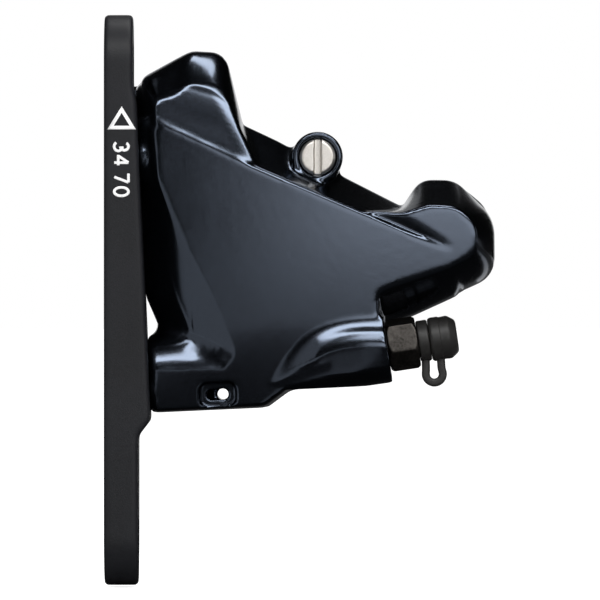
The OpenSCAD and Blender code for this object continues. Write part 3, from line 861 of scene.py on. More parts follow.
@dataclass(frozen=True)
class Works:
    """Sizes that both halves share: rotor slot, pads' pocket, bores, bolts and axle."""

    rotor_at: tuple[float, float] = (-20.3486, -59.7271)
    rotor_r: float = 81.3
    slot: float = 4.6
    piston_at: tuple[float, float] = (18.121, 1.133)
    pad_angle: float = math.radians(57.7)
    pocket_half: float = 12.9
    pocket_low: float = -9.1
    pocket_depth: float = 5.7
    bore_r: float = 11.12
    bore_depth: float = 13.8
    axle_at: tuple[float, float] = (26.35, 14.15)
    boss_r: float = 3.75
    boss_start: float = 1.0
    bolts_at: tuple[tuple[float, float], ...] = ((10.8, 24.4), (43.75, 1.03))
    plate_bolts: tuple[float, float] = (-18.8, 15.2)

    def space(self, grid: Grid) -> Array:
        """Field of the room that the rotor, the pads and one piston take, from the rotor's plane.

        Args:
            grid: sample places of (u, depth, w).

        Returns:
            Field values, negative in that room.
        """
        u, d, w = grid.spread
        c, s = math.cos(self.pad_angle), math.sin(self.pad_angle)
        du, dw = u - self.piston_at[0], w - self.piston_at[1]
        up, side = du * c + dw * s, du * s - dw * c
        rotor = common(bar(u, w, self.rotor_at, self.rotor_r), d - self.slot / 2)
        pocket = common(np.abs(side) - self.pocket_half, self.pocket_low - up, d - self.pocket_depth)
        bore = common(np.hypot(du, dw) - self.bore_r, d - self.bore_depth)
        return np.minimum(np.minimum(rotor, pocket), bore)

    def boss(self, grid: Grid, end: float) -> Array:
        """Field of the round boss that holds the axle, out to a depth."""
        u, d, w = grid.spread
        return common(bar(u, w, self.axle_at, self.boss_r), layer(d, self.boss_start, end))


@dataclass(frozen=True)
class FaceLine:
    """A straight line on the outer face: a place on it, and the direction square to it."""

    at: tuple[float, float]
    square: tuple[float, float]

    def above(self, u: Array, w: Array) -> Array:
        """Distance from the line, positive where its direction points."""
        return (u - self.at[0]) * self.square[0] + (w - self.at[1]) * self.square[1]

    def back(self, u: Array, w: Array) -> Array:
        """Distance along the line from its place, towards the left of its direction."""
        return (self.at[0] - u) * self.square[1] + (w - self.at[1]) * self.square[0]


@dataclass(frozen=True)
class LugFace:
    """The lug's face: a short steep lip at its crease, then a lean that bends back to a rolled edge."""

    crease: FaceLine = FaceLine((2.7, 20.4), (0.462, 0.887))
    lip: float = 0.18
    lip_width: float = 0.4
    lean: float = 0.17
    bend: float = 0.00065
    edge: FaceLine = FaceLine((13.6, 25.0), (0.943, 0.334))
    roll: float = 0.08
    roll_width: float = 2.8
    hide: float = 0.7

    def drop(self, u: Array, w: Array) -> Array:
        """How far it lies below the main face's crown.

        With s the distance above the crease and t that past the start of the rolled edge, it is
        lip (1 - exp(-s / lip_width)) + lean s + bend s^3 + roll t^2. Below the crease it dives under
        the main face by a slope of hide.

        Args:
            u: sample places out.
            w: sample places up.

        Returns:
            The drop at each place.
        """
        above = self.crease.above(u, w)
        s = np.maximum(above, 0)
        t = np.maximum(self.edge.above(u, w) + self.roll_width, 0)
        lip = self.lip * (1 - np.exp(-s / self.lip_width))
        dive = self.hide * np.maximum(-above, 0)
        return lip + self.lean * s + self.bend * s**3 + self.roll * t**2 + dive


@dataclass(frozen=True)
class BulgeFace:
    """The bulge's face, which dips into a valley along the crease between it and the main face."""

    crease: FaceLine = FaceLine((45.3, -0.5), (0.432, 0.902))
    start: float = 0.01
    length: float = 15.5
    depth: float = 1.1
    width: float = 0.9
    widening: float = 0.17
    hide: float = 0.7
    hide_run: float = 3.0

    def drop(self, u: Array, w: Array) -> Array:
        """How far it lies below the main face's crown.

        Along the crease the valley's depth is half a sine wave over its length. Its width grows with
        the distance from the crease's right end, and its far side runs out as a parabola. Below the
        crease it dives under the main face by a slope of hide.

        Args:
            u: sample places out.
            w: sample places up.

        Returns:
            The drop at each place.
        """
        above = self.crease.above(u, w)
        back = np.clip(self.crease.back(u, w), self.start, self.length)
        share = np.clip(1 - above / (self.width + self.widening * back), 0, 1)
        dive = self.hide * np.maximum(-above, 0) * np.minimum(back / self.hide_run, 1)
        return self.depth * np.sin(math.pi * back / self.length) * share**2 + dive


@dataclass(frozen=True)
class HousingRamp:
    """The ramp that leads from the main face up to the nipple's housing, with a fold along it.

    fold_grows and fade are the stretches of u over which the fold and the ramp come up from 0. The
    fold lies fold_lean u - fold_lead away from the ramp's start, and the bend begins at
    bend_lean u + bend_start.
    """

    start: tuple[float, float] = (34.25, -10.0)
    cubic: float = 0.0019
    slope: float = 0.37
    soft: float = 0.002
    fold: float = 0.12
    fold_grows: tuple[float, float] = (24.0, 32.0)
    fold_lean: float = 0.057
    fold_lead: float = 0.25
    fold_width: float = 0.28
    bend: float = 0.175
    bend_lean: float = 0.07
    bend_start: float = 0.95
    bend_width: float = 1.3
    fade: tuple[float, float] = (15.0, 25.0)

    def away(self, u: Array, w: Array) -> Array:
        """Distance below the ramp's start: a level line to the right, and a cubic down to the left.

        Args:
            u: sample places out.
            w: sample places up.

        Returns:
            The drop below that line, divided by the line's own length per step in u.
        """
        back = np.maximum(self.start[0] - u, 0)
        slant = 3 * self.cubic * back**2
        return (self.start[1] - self.cubic * back**3 - w) / np.sqrt(1 + slant**2)

    def height(self, u: Array, w: Array) -> Array:
        """Height over the main face.

        It is a line of one slope in the distance from the ramp's start, softened there by a
        hyperbola, with a fold as a step of a tanh that grows to the right. It bends over by a parabola
        to a plane that leans down, and fades into the face towards the left.

        Args:
            u: sample places out.
            w: sample places up.

        Returns:
            The height at each place.
        """
        away = self.away(u, w)
        line = self.slope / 2 * (away + np.sqrt(away**2 + self.soft))
        step = np.tanh((away - self.fold_lean * u + self.fold_lead) / self.fold_width) + 1
        over = away - self.bend_lean * u - self.bend_start
        bend = np.maximum(over, 0) ** 2 - np.maximum(over - self.bend_width, 0) ** 2
        fold = self.fold * np.interp(u, self.fold_grows, (0, 1))
        return np.interp(u, self.fade, (0, 1)) * (line + fold * step - self.bend * bend)


@dataclass
class OuterHalf:
    """Outer casting: feet on the plate, sculpted face, lug, bulge, axle boss and nipple housing.

    room is the span of the samples along u, depth and w, and close gives (from, to, cell) of the
    stretch with finer cells. nipple_thread and nipple_seat are (radius, from, to) along the nipple's
    axis. At the height pin_w, pin_pocket is (middle, half length, half height), pin_slot (middle,
    reach, radius) and pin_hole (middle, radius).
    """

    works: Works = Works()
    cell: float = 0.31
    room: tuple[tuple[float, float], ...] = ((-1.0, 53.4), (-1.0, 20.9), (-24.0, 31.6))
    close: tuple[tuple[float, float, float], ...] = (
        (6.8, 13.2, 0.17),
        (16.2, 19.4, 0.2),
        (-22.4, -18.0, 0.17),
    )
    face: float = 18.5
    crown_at: tuple[float, float] = (28.0, 2.0)
    crown_r: float = 600.0
    foot_from: float = -10.0
    foot_r: float = 100.0
    main: WalledForm = WalledForm(
        (
            ((0, -22.6), (0.5, -22.1), 0.8, Wall.ROLLED),
            ((17.2, -22.6), (16.6, -21.9), 2.5, Wall.ROLLED),
            ((20.9, -20.1), (20.7, -19.1), 3, Wall.ROLLED),
            ((34.7, -19.7), (33.9, -18.7), 1, Wall.ROLLED),
            ((34.9, -11.3), (34.3, -6.2), 1, Wall.EASED),
            ((39.4, -10), (35.6, -5.6), 1.5, Wall.EASED),
            ((46.6, -7.1), (46, -2.8), 2, Wall.EASED),
            ((48, 0), (45.6, -0.6), 1, Wall.ROLLED),
            ((38.6, 6.3), (40, 2.05), 1, Wall.STRAIGHT),
            ((30.4, 10.95), (30.4, 6.65), 8, Wall.STRAIGHT),
            ((20.5, 16.9), (20.3, 11.5), 8, Wall.STRAIGHT),
            ((14.6, 20), (14.6, 14.2), 4, Wall.STRAIGHT),
            ((0, 22), (2.7, 20.4), 1.2, Wall.ROLLED),
            ((0, 11), (2.6, 12), 8, Wall.SCOOPED),
            ((0, 1), (6.4, 1.9), 8, Wall.SCOOPED),
            ((0, -5.3), (10.1, -6.3), 3, Wall.SCOOPED),
            ((1.7, -9.8), (12.9, -13.9), 1.5, Wall.SCOOPED),
            ((0.7, -10.9), (11.7, -16.3), 1.5, Wall.LEDGE),
            ((0, -11.3), (0.5, -15.9), 0.8, Wall.LEDGE),
        ),
        low=1.0,
        side=9.5,
        face=face,
    )
    lug: WalledForm = WalledForm(
        (
            ((0.7, 10.6), (2.6, 10.6), 0.5, Wall.SCOOPED),
            ((20.4, 10.6), (18.6, 10.6), 0.5, Wall.EASED),
            ((15.6, 19.2), (15.2, 18.6), 3, Wall.EASED),
            ((13.4, 30.3), (13.0, 25.2), 3.3, Wall.SCOOPED),
            ((8.4, 30.8), (8.2, 26.0), 4, Wall.SCOOPED),
            ((6.6, 30.0), (5.6, 24.1), 2, Wall.SCOOPED),
            ((0.7, 27.1), (2.7, 23.5), 1.6, Wall.SCOOPED),
        ),
        low=0.0,
        side=9.0,
        face=15.3,
    )
    lug_face: LugFace = LugFace()
    upper_foot: WalledForm = WalledForm(
        (
            ((0, 10.6), (1.8, 11.4), 2.5, Wall.ROLLED),
            ((6, 9.6), (6, 10.4), 0.5, Wall.ROLLED),
            ((6, 21.4), (6, 20.6), 0.5, Wall.ROLLED),
            ((0, 21.4), (1.8, 20.6), 1.2, Wall.ROLLED),
        ),
        low=5.5,
        side=14.5,
        face=16.8,
    )
    bulge: WalledForm = WalledForm(
        (
            ((45.9, -7.0), (45.2, -2.9), 4, Wall.EASED),
            ((51.9, -4.6), (48.9, -1.4), 5, Wall.EASED),
            ((52.2, 4.0), (49.4, 2.9), 6, Wall.EASED),
            ((46.6, 9.9), (46.6, 5.8), 4, Wall.STRAIGHT),
            ((41.4, 10.2), (42.6, 6.2), 3, Wall.STRAIGHT),
            ((38.6, 6.3), (38.0, 5.2), 3, Wall.EASED),
            ((36.0, 5.0), (31.6, 6.2), 1, Wall.EASED),
            ((39, -6), (39, -5), 2, Wall.EASED),
        ),
        low=0.0,
        side=8.0,
        face=face,
    )
    bulge_face: BulgeFace = BulgeFace()
    neck: WalledForm = WalledForm(
        (
            ((-0.2, 18.0), (1.6, 18.0), 0.5, Wall.ROLLED),
            ((3.2, 18.0), (3.2, 18.0), 0.5, Wall.ROLLED),
            ((3.2, 26.6), (3.2, 25.6), 0.5, Wall.ROLLED),
            ((-0.2, 26.3), (1.6, 25.2), 1.0, Wall.ROLLED),
        ),
        low=1.0,
        side=6.0,
        face=12.5,
    )
    boss_end: float = 15.5
    foot_pad_r: float = 3.3
    foot_pad: tuple[float, float] = (-0.12, 1.5)
    ramp: HousingRamp = HousingRamp()
    ramp_under: float = 0.3
    nose_line: tuple[tuple[float, float, float], ...] = (
        (19.0, 13.2, -17.6),
        (29.8, 14.85, -15.4),
        (40.4, 14.85, -14.35),
    )
    nose_r: float = 4.8
    nose_low: float = -20.0
    axle_hole: float = 2.15
    axle_thread: float = 2.74
    axle_thread_from: float = 10.5
    bolt_thread: float = 2.6
    bolt_depth: float = 10.0
    plate_bolt_depth: float = 9.3
    nipple_thread: tuple[float, float, float] = (3.08, -8.0, 3.0)
    nipple_seat: tuple[float, float, float] = (4.4, 0.0, 6.5)
    pin_w: float = -20.2
    pin_pocket: tuple[float, float, float] = (10.05, 1.5, 0.56)
    pin_pocket_r: float = 1.2
    pin_pocket_depth: float = 0.7
    pin_slot: tuple[float, float, float] = (9.7, 0.5, 0.76)
    pin_slot_depth: float = 1.5
    pin_hole: tuple[float, float] = (10.8, 0.84)

    def crown(self, u: Array, w: Array) -> Array:
        """How far the main face falls below its depth: a shallow bowl turned over, lower at the foot."""
        foot = np.maximum(self.foot_from - w, 0) ** 2 / (2 * self.foot_r)
        return ((u - self.crown_at[0]) ** 2 + (w - self.crown_at[1]) ** 2) / (2 * self.crown_r) + foot

    def values(self, grid: Grid) -> Array:
        """Field of the casting.

        Args:
            grid: sample places of (u, depth, w).

        Returns:
            Field values, negative inside.
        """
        u, d, w = grid.spread
        crown = self.crown(u, w)
        lug_drop = self.lug.face - self.face + crown + self.lug_face.drop(u, w)
        made = np.minimum(self.main.values(grid, crown), self.lug.values(grid, lug_drop))
        made = np.minimum(made, self.bulge.values(grid, crown + self.bulge_face.drop(u, w)))
        made = joined(made, self.works.boss(grid, self.boss_end), soft=0.9)
        made = joined(made, self.upper_foot.values(grid), soft=0.5)
        made = joined(made, self.neck.values(grid), soft=0.3)
        for place in self.works.plate_bolts:
            r = np.hypot(d - SEAT.rotor, w - place)
            made = np.minimum(made, common(r - self.foot_pad_r, layer(u, *self.foot_pad)))
        made = np.minimum(made, common(self.nose(grid), self.along(grid)))
        return self.drilled(made, grid)

    def nose(self, grid: Grid) -> Array:
        """Field of the nipple's housing: a bent bar below its axis, and the ramp up to it.

        Args:
            grid: sample places of (u, depth, w).

        Returns:
            Field values, negative inside.
        """
        u, d, w = grid.spread
        left, knee, right = line = np.array(self.nose_line)
        bars = np.minimum(rod(grid, left, knee, self.nose_r), rod(grid, knee, right, self.nose_r))
        axis = np.interp(u, line[:, 0], line[:, 2])
        top = self.face - self.crown(u, w) + self.ramp.height(u, w)
        ramp = common(d - top, -self.ramp.away(u, w) - self.ramp_under)
        return common(ramp, np.minimum(bars, axis - w), self.nose_low - w)

    def along(self, grid: Grid) -> Array:
        """Place along the nipple's axis, 0 where the housing ends."""
        u, _, w = grid.spread
        return (u - NIPPLE.at[0]) * math.cos(NIPPLE.tilt) + (w - NIPPLE.at[1]) * math.sin(NIPPLE.tilt)

    def nipple_bore(self, grid: Grid, r: float, low: float, high: float) -> Array:
        """Field of a round bar on the nipple's axis.

        Args:
            grid: sample places of (u, depth, w).
            r: the bar's radius.
            low: where it starts along the axis.
            high: where it ends.

        Returns:
            Field values, negative inside.
        """
        u, d, w = grid.spread
        up = (w - NIPPLE.at[1]) * math.cos(NIPPLE.tilt) - (u - NIPPLE.at[0]) * math.sin(NIPPLE.tilt)
        return common(np.hypot(up, d - (SEAT.rotor - NIPPLE.y)) - r, layer(self.along(grid), low, high))

    def drilled(self, made: Array, grid: Grid) -> Array:
        """The casting with its slot, bores, threads and the locking pin's pocket cut out.

        Args:
            made: the solid casting's field.
            grid: sample places of (u, depth, w).

        Returns:
            Field values, negative inside.
        """
        u, d, w = grid.spread
        works = self.works
        made = cut(made, works.space(grid), soft=0.3)
        made = cut(made, bar(u, w, works.axle_at, self.axle_hole), soft=0.2)
        thread = common(bar(u, w, works.axle_at, self.axle_thread), self.axle_thread_from - d)
        made = cut(made, thread, soft=0.25)
        for at in works.bolts_at:
            made = cut(made, common(bar(u, w, at, self.bolt_thread), d - self.bolt_depth), soft=0.3)
        for place in works.plate_bolts:
            hole = np.hypot(d - SEAT.rotor, w - place) - self.bolt_thread
            made = cut(made, common(hole, u - self.plate_bolt_depth), soft=0.3)
        made = cut(made, self.nipple_bore(grid, *self.nipple_thread), soft=0.4)
        made = cut(made, self.nipple_bore(grid, *self.nipple_seat), soft=0.3)
        top = self.face - self.crown(u, w)
        at, reach, rise = self.pin_pocket
        corner = np.maximum(np.abs(u - at) - reach, 0), np.maximum(np.abs(w - self.pin_w) - rise, 0)
        pocket = common(np.hypot(*corner) - self.pin_pocket_r, top - self.pin_pocket_depth - d)
        made = cut(made, pocket, soft=0.25)
        at, reach, r = self.pin_slot
        slot = common(oblong(u, w, (at, self.pin_w), reach, r), top - self.pin_slot_depth - d)
        made = cut(made, slot, soft=0.12)
        at, r = self.pin_hole
        return cut(made, bar(u, w, (at, self.pin_w), r), soft=0.1)

    def build(self) -> None:
        """Makes the casting and dresses it."""
        grid = Grid(*(ticks(*span, self.cell, close) for span, close in zip(self.room, self.close)))
        values = softened(self.values(grid), passes=1)
        place = SEAT.half(Half.OUTER)
        dress = (GRAPHITE, "caliper", "graphite_paint", "outer_body")
        net_piece("outer_casting", values, grid, place, *dress, mirrored=True)


@dataclass
class InnerHalf:
    """Inner casting on the wheel's side: bridge, cylinder, axle boss and hose port.

    room is the span of the samples along u, depth and w. The cylinder's rim is bevelled down to
    cylinder_end_r, and its end has a flat dish from dish_from outwards.
    """

    works: Works = Works()
    cell: float = 0.36
    room: tuple[tuple[float, float], ...] = ((-5.0, 53.0), (-1.0, 18.6), (-15.0, 31.4))
    bridge: WalledForm = WalledForm(
        (
            ((6.8, 18), (6.8, 18), 0.5, Wall.ROLLED),
            ((9, -8), (9, -8), 1, Wall.ROLLED),
            ((34.5, -9.6), (34.4, -8.6), 4, Wall.ROLLED),
            ((46.6, -7), (46, -6), 3, Wall.ROLLED),
            ((51.7, -3.6), (50.7, -3), 5, Wall.ROLLED),
            ((51.7, 5.4), (50.7, 5), 5, Wall.ROLLED),
            ((46.6, 9.9), (46.4, 8.9), 4, Wall.ROLLED),
            ((42, 9.9), (42.4, 8.9), 2, Wall.ROLLED),
            ((38.3, 5.4), (38.3, 4.4), 2, Wall.ROLLED),
            ((20.3, 16), (20, 15), 6, Wall.ROLLED),
            ((15.2, 19.6), (14.4, 19), 3, Wall.ROLLED),
            ((13.3, 29.6), (12.6, 28.7), 3, Wall.ROLLED),
            ((6.8, 29.6), (7.4, 28.7), 2.6, Wall.ROLLED),
        ),
        low=0.0,
        side=6.5,
        face=8.5,
    )
    core: WalledForm = WalledForm(
        (
            ((-0.4, 18), (0.6, 17.4), 1, Wall.ROLLED),
            ((-0.4, 9), (0.6, 9.4), 3, Wall.ROLLED),
            ((4.2, -2), (5.2, -1.6), 8, Wall.ROLLED),
            ((10, -13), (10.8, -12), 8, Wall.ROLLED),
            ((26, -13.4), (26, -12.4), 8, Wall.ROLLED),
            ((36.4, -7), (35.4, -6.4), 5, Wall.ROLLED),
            ((36.8, 3.4), (35.8, 3), 5, Wall.ROLLED),
            ((20.3, 15.4), (20, 14.4), 6, Wall.ROLLED),
            ((13.6, 18), (13, 17.4), 2, Wall.ROLLED),
        ),
        low=1.0,
        side=9.0,
        face=12.0,
    )
    cylinder_r: float = 13.64
    cylinder: tuple[float, float] = (1.0, 17.3)
    cylinder_end_r: float = 12.6
    dish_r: float = 10.2
    dish_from: float = 16.9
    boss_end: float = 12.55
    port_at: tuple[float, float, float] = (1.6, 7.7, 26.4)
    port_r: float = 5.3
    port_length: float = 13.0
    port_hole: float = 3.7
    port_depth: float = 10.0
    axle_hole: float = 2.05
    clip_seat: float = 3.2
    bolt_hole: float = 2.75
    bolt_head: float = 3.75

    def values(self, grid: Grid) -> Array:
        """Field of the casting.

        Args:
            grid: sample places of (u, depth, w).

        Returns:
            Field values, negative inside.
        """
        u, d, w = grid.spread
        works = self.works
        made = joined(self.bridge.values(grid), self.core.values(grid), soft=1.6)
        r = np.hypot(u - works.piston_at[0], w - works.piston_at[1])
        bevel = r + d - self.cylinder[1] - self.cylinder_end_r
        made = joined(made, common(r - self.cylinder_r, layer(d, *self.cylinder), bevel), soft=1.6)
        made = cut(made, common(r - self.dish_r, self.dish_from - d), soft=0.4)
        made = joined(made, works.boss(grid, self.boss_end), soft=0.8)
        out, depth, top = self.port_at
        port = np.hypot(u - out, d - depth)
        made = joined(made, common(port - self.port_r, layer(w, top - self.port_length, top)), soft=1.8)
        made = cut(made, works.space(grid), soft=0.3)
        made = cut(made, bar(u, w, works.axle_at, self.axle_hole), soft=0.2)
        clip = common(bar(u, w, works.axle_at, self.clip_seat), self.boss_end - d)
        made = cut(made, clip, soft=0.2)
        for place in works.bolts_at:
            made = cut(made, bar(u, w, place, self.bolt_hole), soft=0.2)
            made = cut(made, common(bar(u, w, place, self.bolt_head), self.bridge.face - d), soft=0.1)
        return cut(made, common(port - self.port_hole, top - self.port_depth - w), soft=0.5)

    def build(self) -> None:
        """Makes the casting and dresses it."""
        grid = Grid(*(ticks(*span, self.cell) for span in self.room))
        values = softened(self.values(grid), passes=2)
        place = SEAT.half(Half.INNER)
        dress = (GRAPHITE, "caliper", "graphite_paint", "inner_body")
        net_piece("inner_casting", values, grid, place, *dress, passes=6)


@dataclass
class ForkPlate:
    """Long plate between fork and caliper, with its slots, bolt holes and printed mark.

    lower and upper are the thickness of its two ends, and seat is the span of the thicker part
    between them. ink gives the printed film's near and far side, measured from the plate's side, and
    each stroke lies stroke_step further out than the one before, so that none share a plane.
    """

    spacing: float = 70.1
    width: float = 14.4
    lower: float = 5.05
    upper: float = 4.25
    seat: tuple[float, float] = (-23.5, 23.0)
    lower_slope: float = 1.3
    upper_run: float = 3.0
    edge: float = 0.5
    cell: float = 0.3
    cell_across: float = 0.24
    room: tuple[float, float, float] = (7.6, 7.8, 43.0)
    back: float = -0.6
    slot_r: float = 2.7
    slot_reach: float = 1.6
    bolt_r: float = 2.7
    head_r: float = 4.45
    grip: float = 2.3
    triangle: tuple[tuple[float, float], ...] = ((0.55, 25.1), (2.65, 28.5), (4.75, 25.1))
    triangle_middle: tuple[float, float] = (2.65, 26.3)
    triangle_hole: float = 0.56
    ink: tuple[float, float] = (-0.03, 0.01)
    stroke: tuple[float, float] = (0.4, 0.04)
    stroke_lift: float = 0.012
    stroke_step: float = 0.003
    words_at: tuple[float, float] = (1.55, 23.2)

    def profile(self) -> Array:
        """Outline across the plate: thin ends and a thicker, tilted seat with eased corners.

        Returns:
            (m, 2) points of [X, Z].
        """
        end = self.spacing / 2 + self.width / 2
        c, s = math.cos(SEAT.tilt), math.sin(SEAT.tilt)
        low, high = ((SEAT.thickness - w * s, SEAT.rise + w * c) for w in self.seat)
        corners = [
            (0, -end, self.edge),
            (self.lower, -end, self.edge),
            (self.lower, low[1] - self.lower_slope * (low[0] - self.lower), 1),
            (*low, 0.6),
            (*high, 2),
            (self.upper, high[1] + self.upper_run, 2),
            (self.upper, end, self.edge),
            (0, end, self.edge),
        ]
        table = np.array(corners)
        return rounded(table[:, :2], table[:, 2])

    def build(self) -> None:
        """Makes the plate and its mark, and dresses them."""
        thick, wide, long = self.room
        grid = Grid(
            ticks(self.back, thick, self.cell_across),
            ticks(-wide, wide, self.cell),
            ticks(-long, long, self.cell),
        )
        x, y, z = grid.spread
        sides = outline_field(self.profile(), grid.x, grid.z)[:, None, :]
        ends = np.hypot(y, np.maximum(np.abs(z) - self.spacing / 2, 0)) - self.width / 2
        made = -joined(-sides, -ends, soft=0.5)
        for side in (-1, 1):
            slot = oblong(y, z, (0, side * self.spacing / 2), self.slot_reach, self.slot_r)
            made = cut(made, slot, soft=0.3)
        c, s = math.cos(SEAT.tilt), math.sin(SEAT.tilt)
        out = (x - SEAT.thickness) * c + (z - SEAT.rise) * s
        up = (z - SEAT.rise) * c - (x - SEAT.thickness) * s
        for place in Works().plate_bolts:
            r = np.hypot(y, up - place)
            made = cut(made, r - self.bolt_r, soft=0.2)
            made = cut(made, common(r - self.head_r, out + self.grip), soft=0.25)
        dress = (ANODISED, "caliper", "black_anodised", "mount_plate")
        net_piece("fork_plate", softened(made, passes=1), grid, lambda p: p * MM, *dress)
        self.mark()

    def mark(self) -> None:
        """Prints an upward triangle and plain numbers on the plate's outer side, as thin strokes."""
        front = -self.width / 2
        middle, outer = np.array(self.triangle_middle), np.array(self.triangle)
        inner = middle + (outer - middle) * self.triangle_hole
        near, far = front + self.ink[0], front + self.ink[1]
        loops = [(outer, near), (inner, near), (inner, far), (outer, far)]
        rings = np.stack([np.insert(loop, 1, y, 1) for loop, y in loops])
        quads = sheet_quads(len(loops), len(outer), ring_rows=True, ring_columns=True)[:, TURNED_ROUND]
        dress = (INK, "caliper", "black_anodised", None)
        add_piece("plate_mark_up", rings.reshape(-1, 3) * MM, quads, *dress)
        for number, line in enumerate(self.digits()):
            lift = front - self.stroke_lift - self.stroke_step * number
            spine = np.stack([line[:, 0], np.full(len(line), lift), line[:, 1]], 1)
            points, faces = swept(spine * MM, ACROSS, rectangle(*self.stroke) * MM)
            add_piece(f"plate_mark_{number}", points, faces, *dress)

    def digits(self) -> list[Array]:
        """Strokes of 34 and 70, reading down the plate: arcs and straight lines.

        Returns:
            (n, 2) points of [X, Z] for each stroke.
        """
        three = [arc_line(0.62, 1.5, 0.55, 0.6, 150, -90), arc_line(0.62, 0.6, 0.66, 0.6, 90, -150)]
        four = [
            straight_line((1, 0), (1, 2.1)),
            straight_line((1, 2.1), (0, 0.6)),
            straight_line((-0.14, 0.6), (1.4, 0.6)),
        ]
        seven = [straight_line((0, 2.1), (1.3, 2.1)), straight_line((1.3, 2.1), (0.5, 0))]
        zero = [arc_line(0.66, 1.05, 0.62, 1.05, 0, 360)]
        x, z = self.words_at
        glyphs = ((three, 0.0), (four, 2.0), (seven, 4.6), (zero, 6.6))
        strokes = [(stroke, at) for glyph, at in glyphs for stroke in glyph]
        return [np.stack([x + stroke[:, 1], z - stroke[:, 0] - at], 1) for stroke, at in strokes]


@dataclass
class PadAxle:
    """Slotted screw-in pin that carries the pads, with its snap ring."""

    r: float = 1.95
    head_r: float = 2.65
    head_bevel: float = 0.36
    tip_bevel: float = 0.4
    slot: float = 1.05
    slot_depth: float = 1.2
    head: float = -15.8
    shoulder: float = -10.55
    overlap: float = 1.0
    tip: float = 14.1
    groove_r: float = 1.45
    groove: tuple[float, float] = (12.55, 13.25)
    room: float = 2.95
    spare: float = 0.4
    cell: float = 0.12
    cell_along: float = 0.3
    close: tuple[float, float] = (-0.2, 2.0)

    def build(self) -> None:
        """Makes the pin from turned steps and a milled slot."""
        at = Works().axle_at
        close = (self.head + self.close[0], self.head + self.close[1], self.cell)
        grid = Grid(
            ticks(at[0] - self.room, at[0] + self.room, self.cell),
            ticks(self.head - self.spare, self.tip + self.spare, self.cell_along, close),
            ticks(at[1] - self.room, at[1] + self.room, self.cell),
        )
        u, d, w = grid.spread
        r = np.hypot(u - at[0], w - at[1])
        head_rim = rim(r, self.head - d, self.head_r - self.head_bevel)
        head = common(r - self.head_r, layer(d, self.head, self.shoulder), head_rim)
        tip_rim = rim(r, d - self.tip, self.r - self.tip_bevel)
        shank = common(r - self.r, layer(d, self.shoulder - self.overlap, self.tip), tip_rim)
        made = np.minimum(head, shank)
        made = cut(made, common(self.groove_r - r, layer(d, *self.groove)), soft=0.05)
        across = (u - at[0]) * math.cos(SEAT.tilt) - (w - at[1]) * math.sin(SEAT.tilt)
        slot = common(np.abs(across) - self.slot / 2, d - self.head - self.slot_depth)
        made = cut(made, slot, soft=0.08)
        dress = (STAINLESS, "caliper", "bright_steel", "pad_axle")
        net_piece("slotted_pin", made, grid, SEAT.half(Half.INNER), *dress, passes=1)
        wear_node("pad_axle_clip", SPRING)


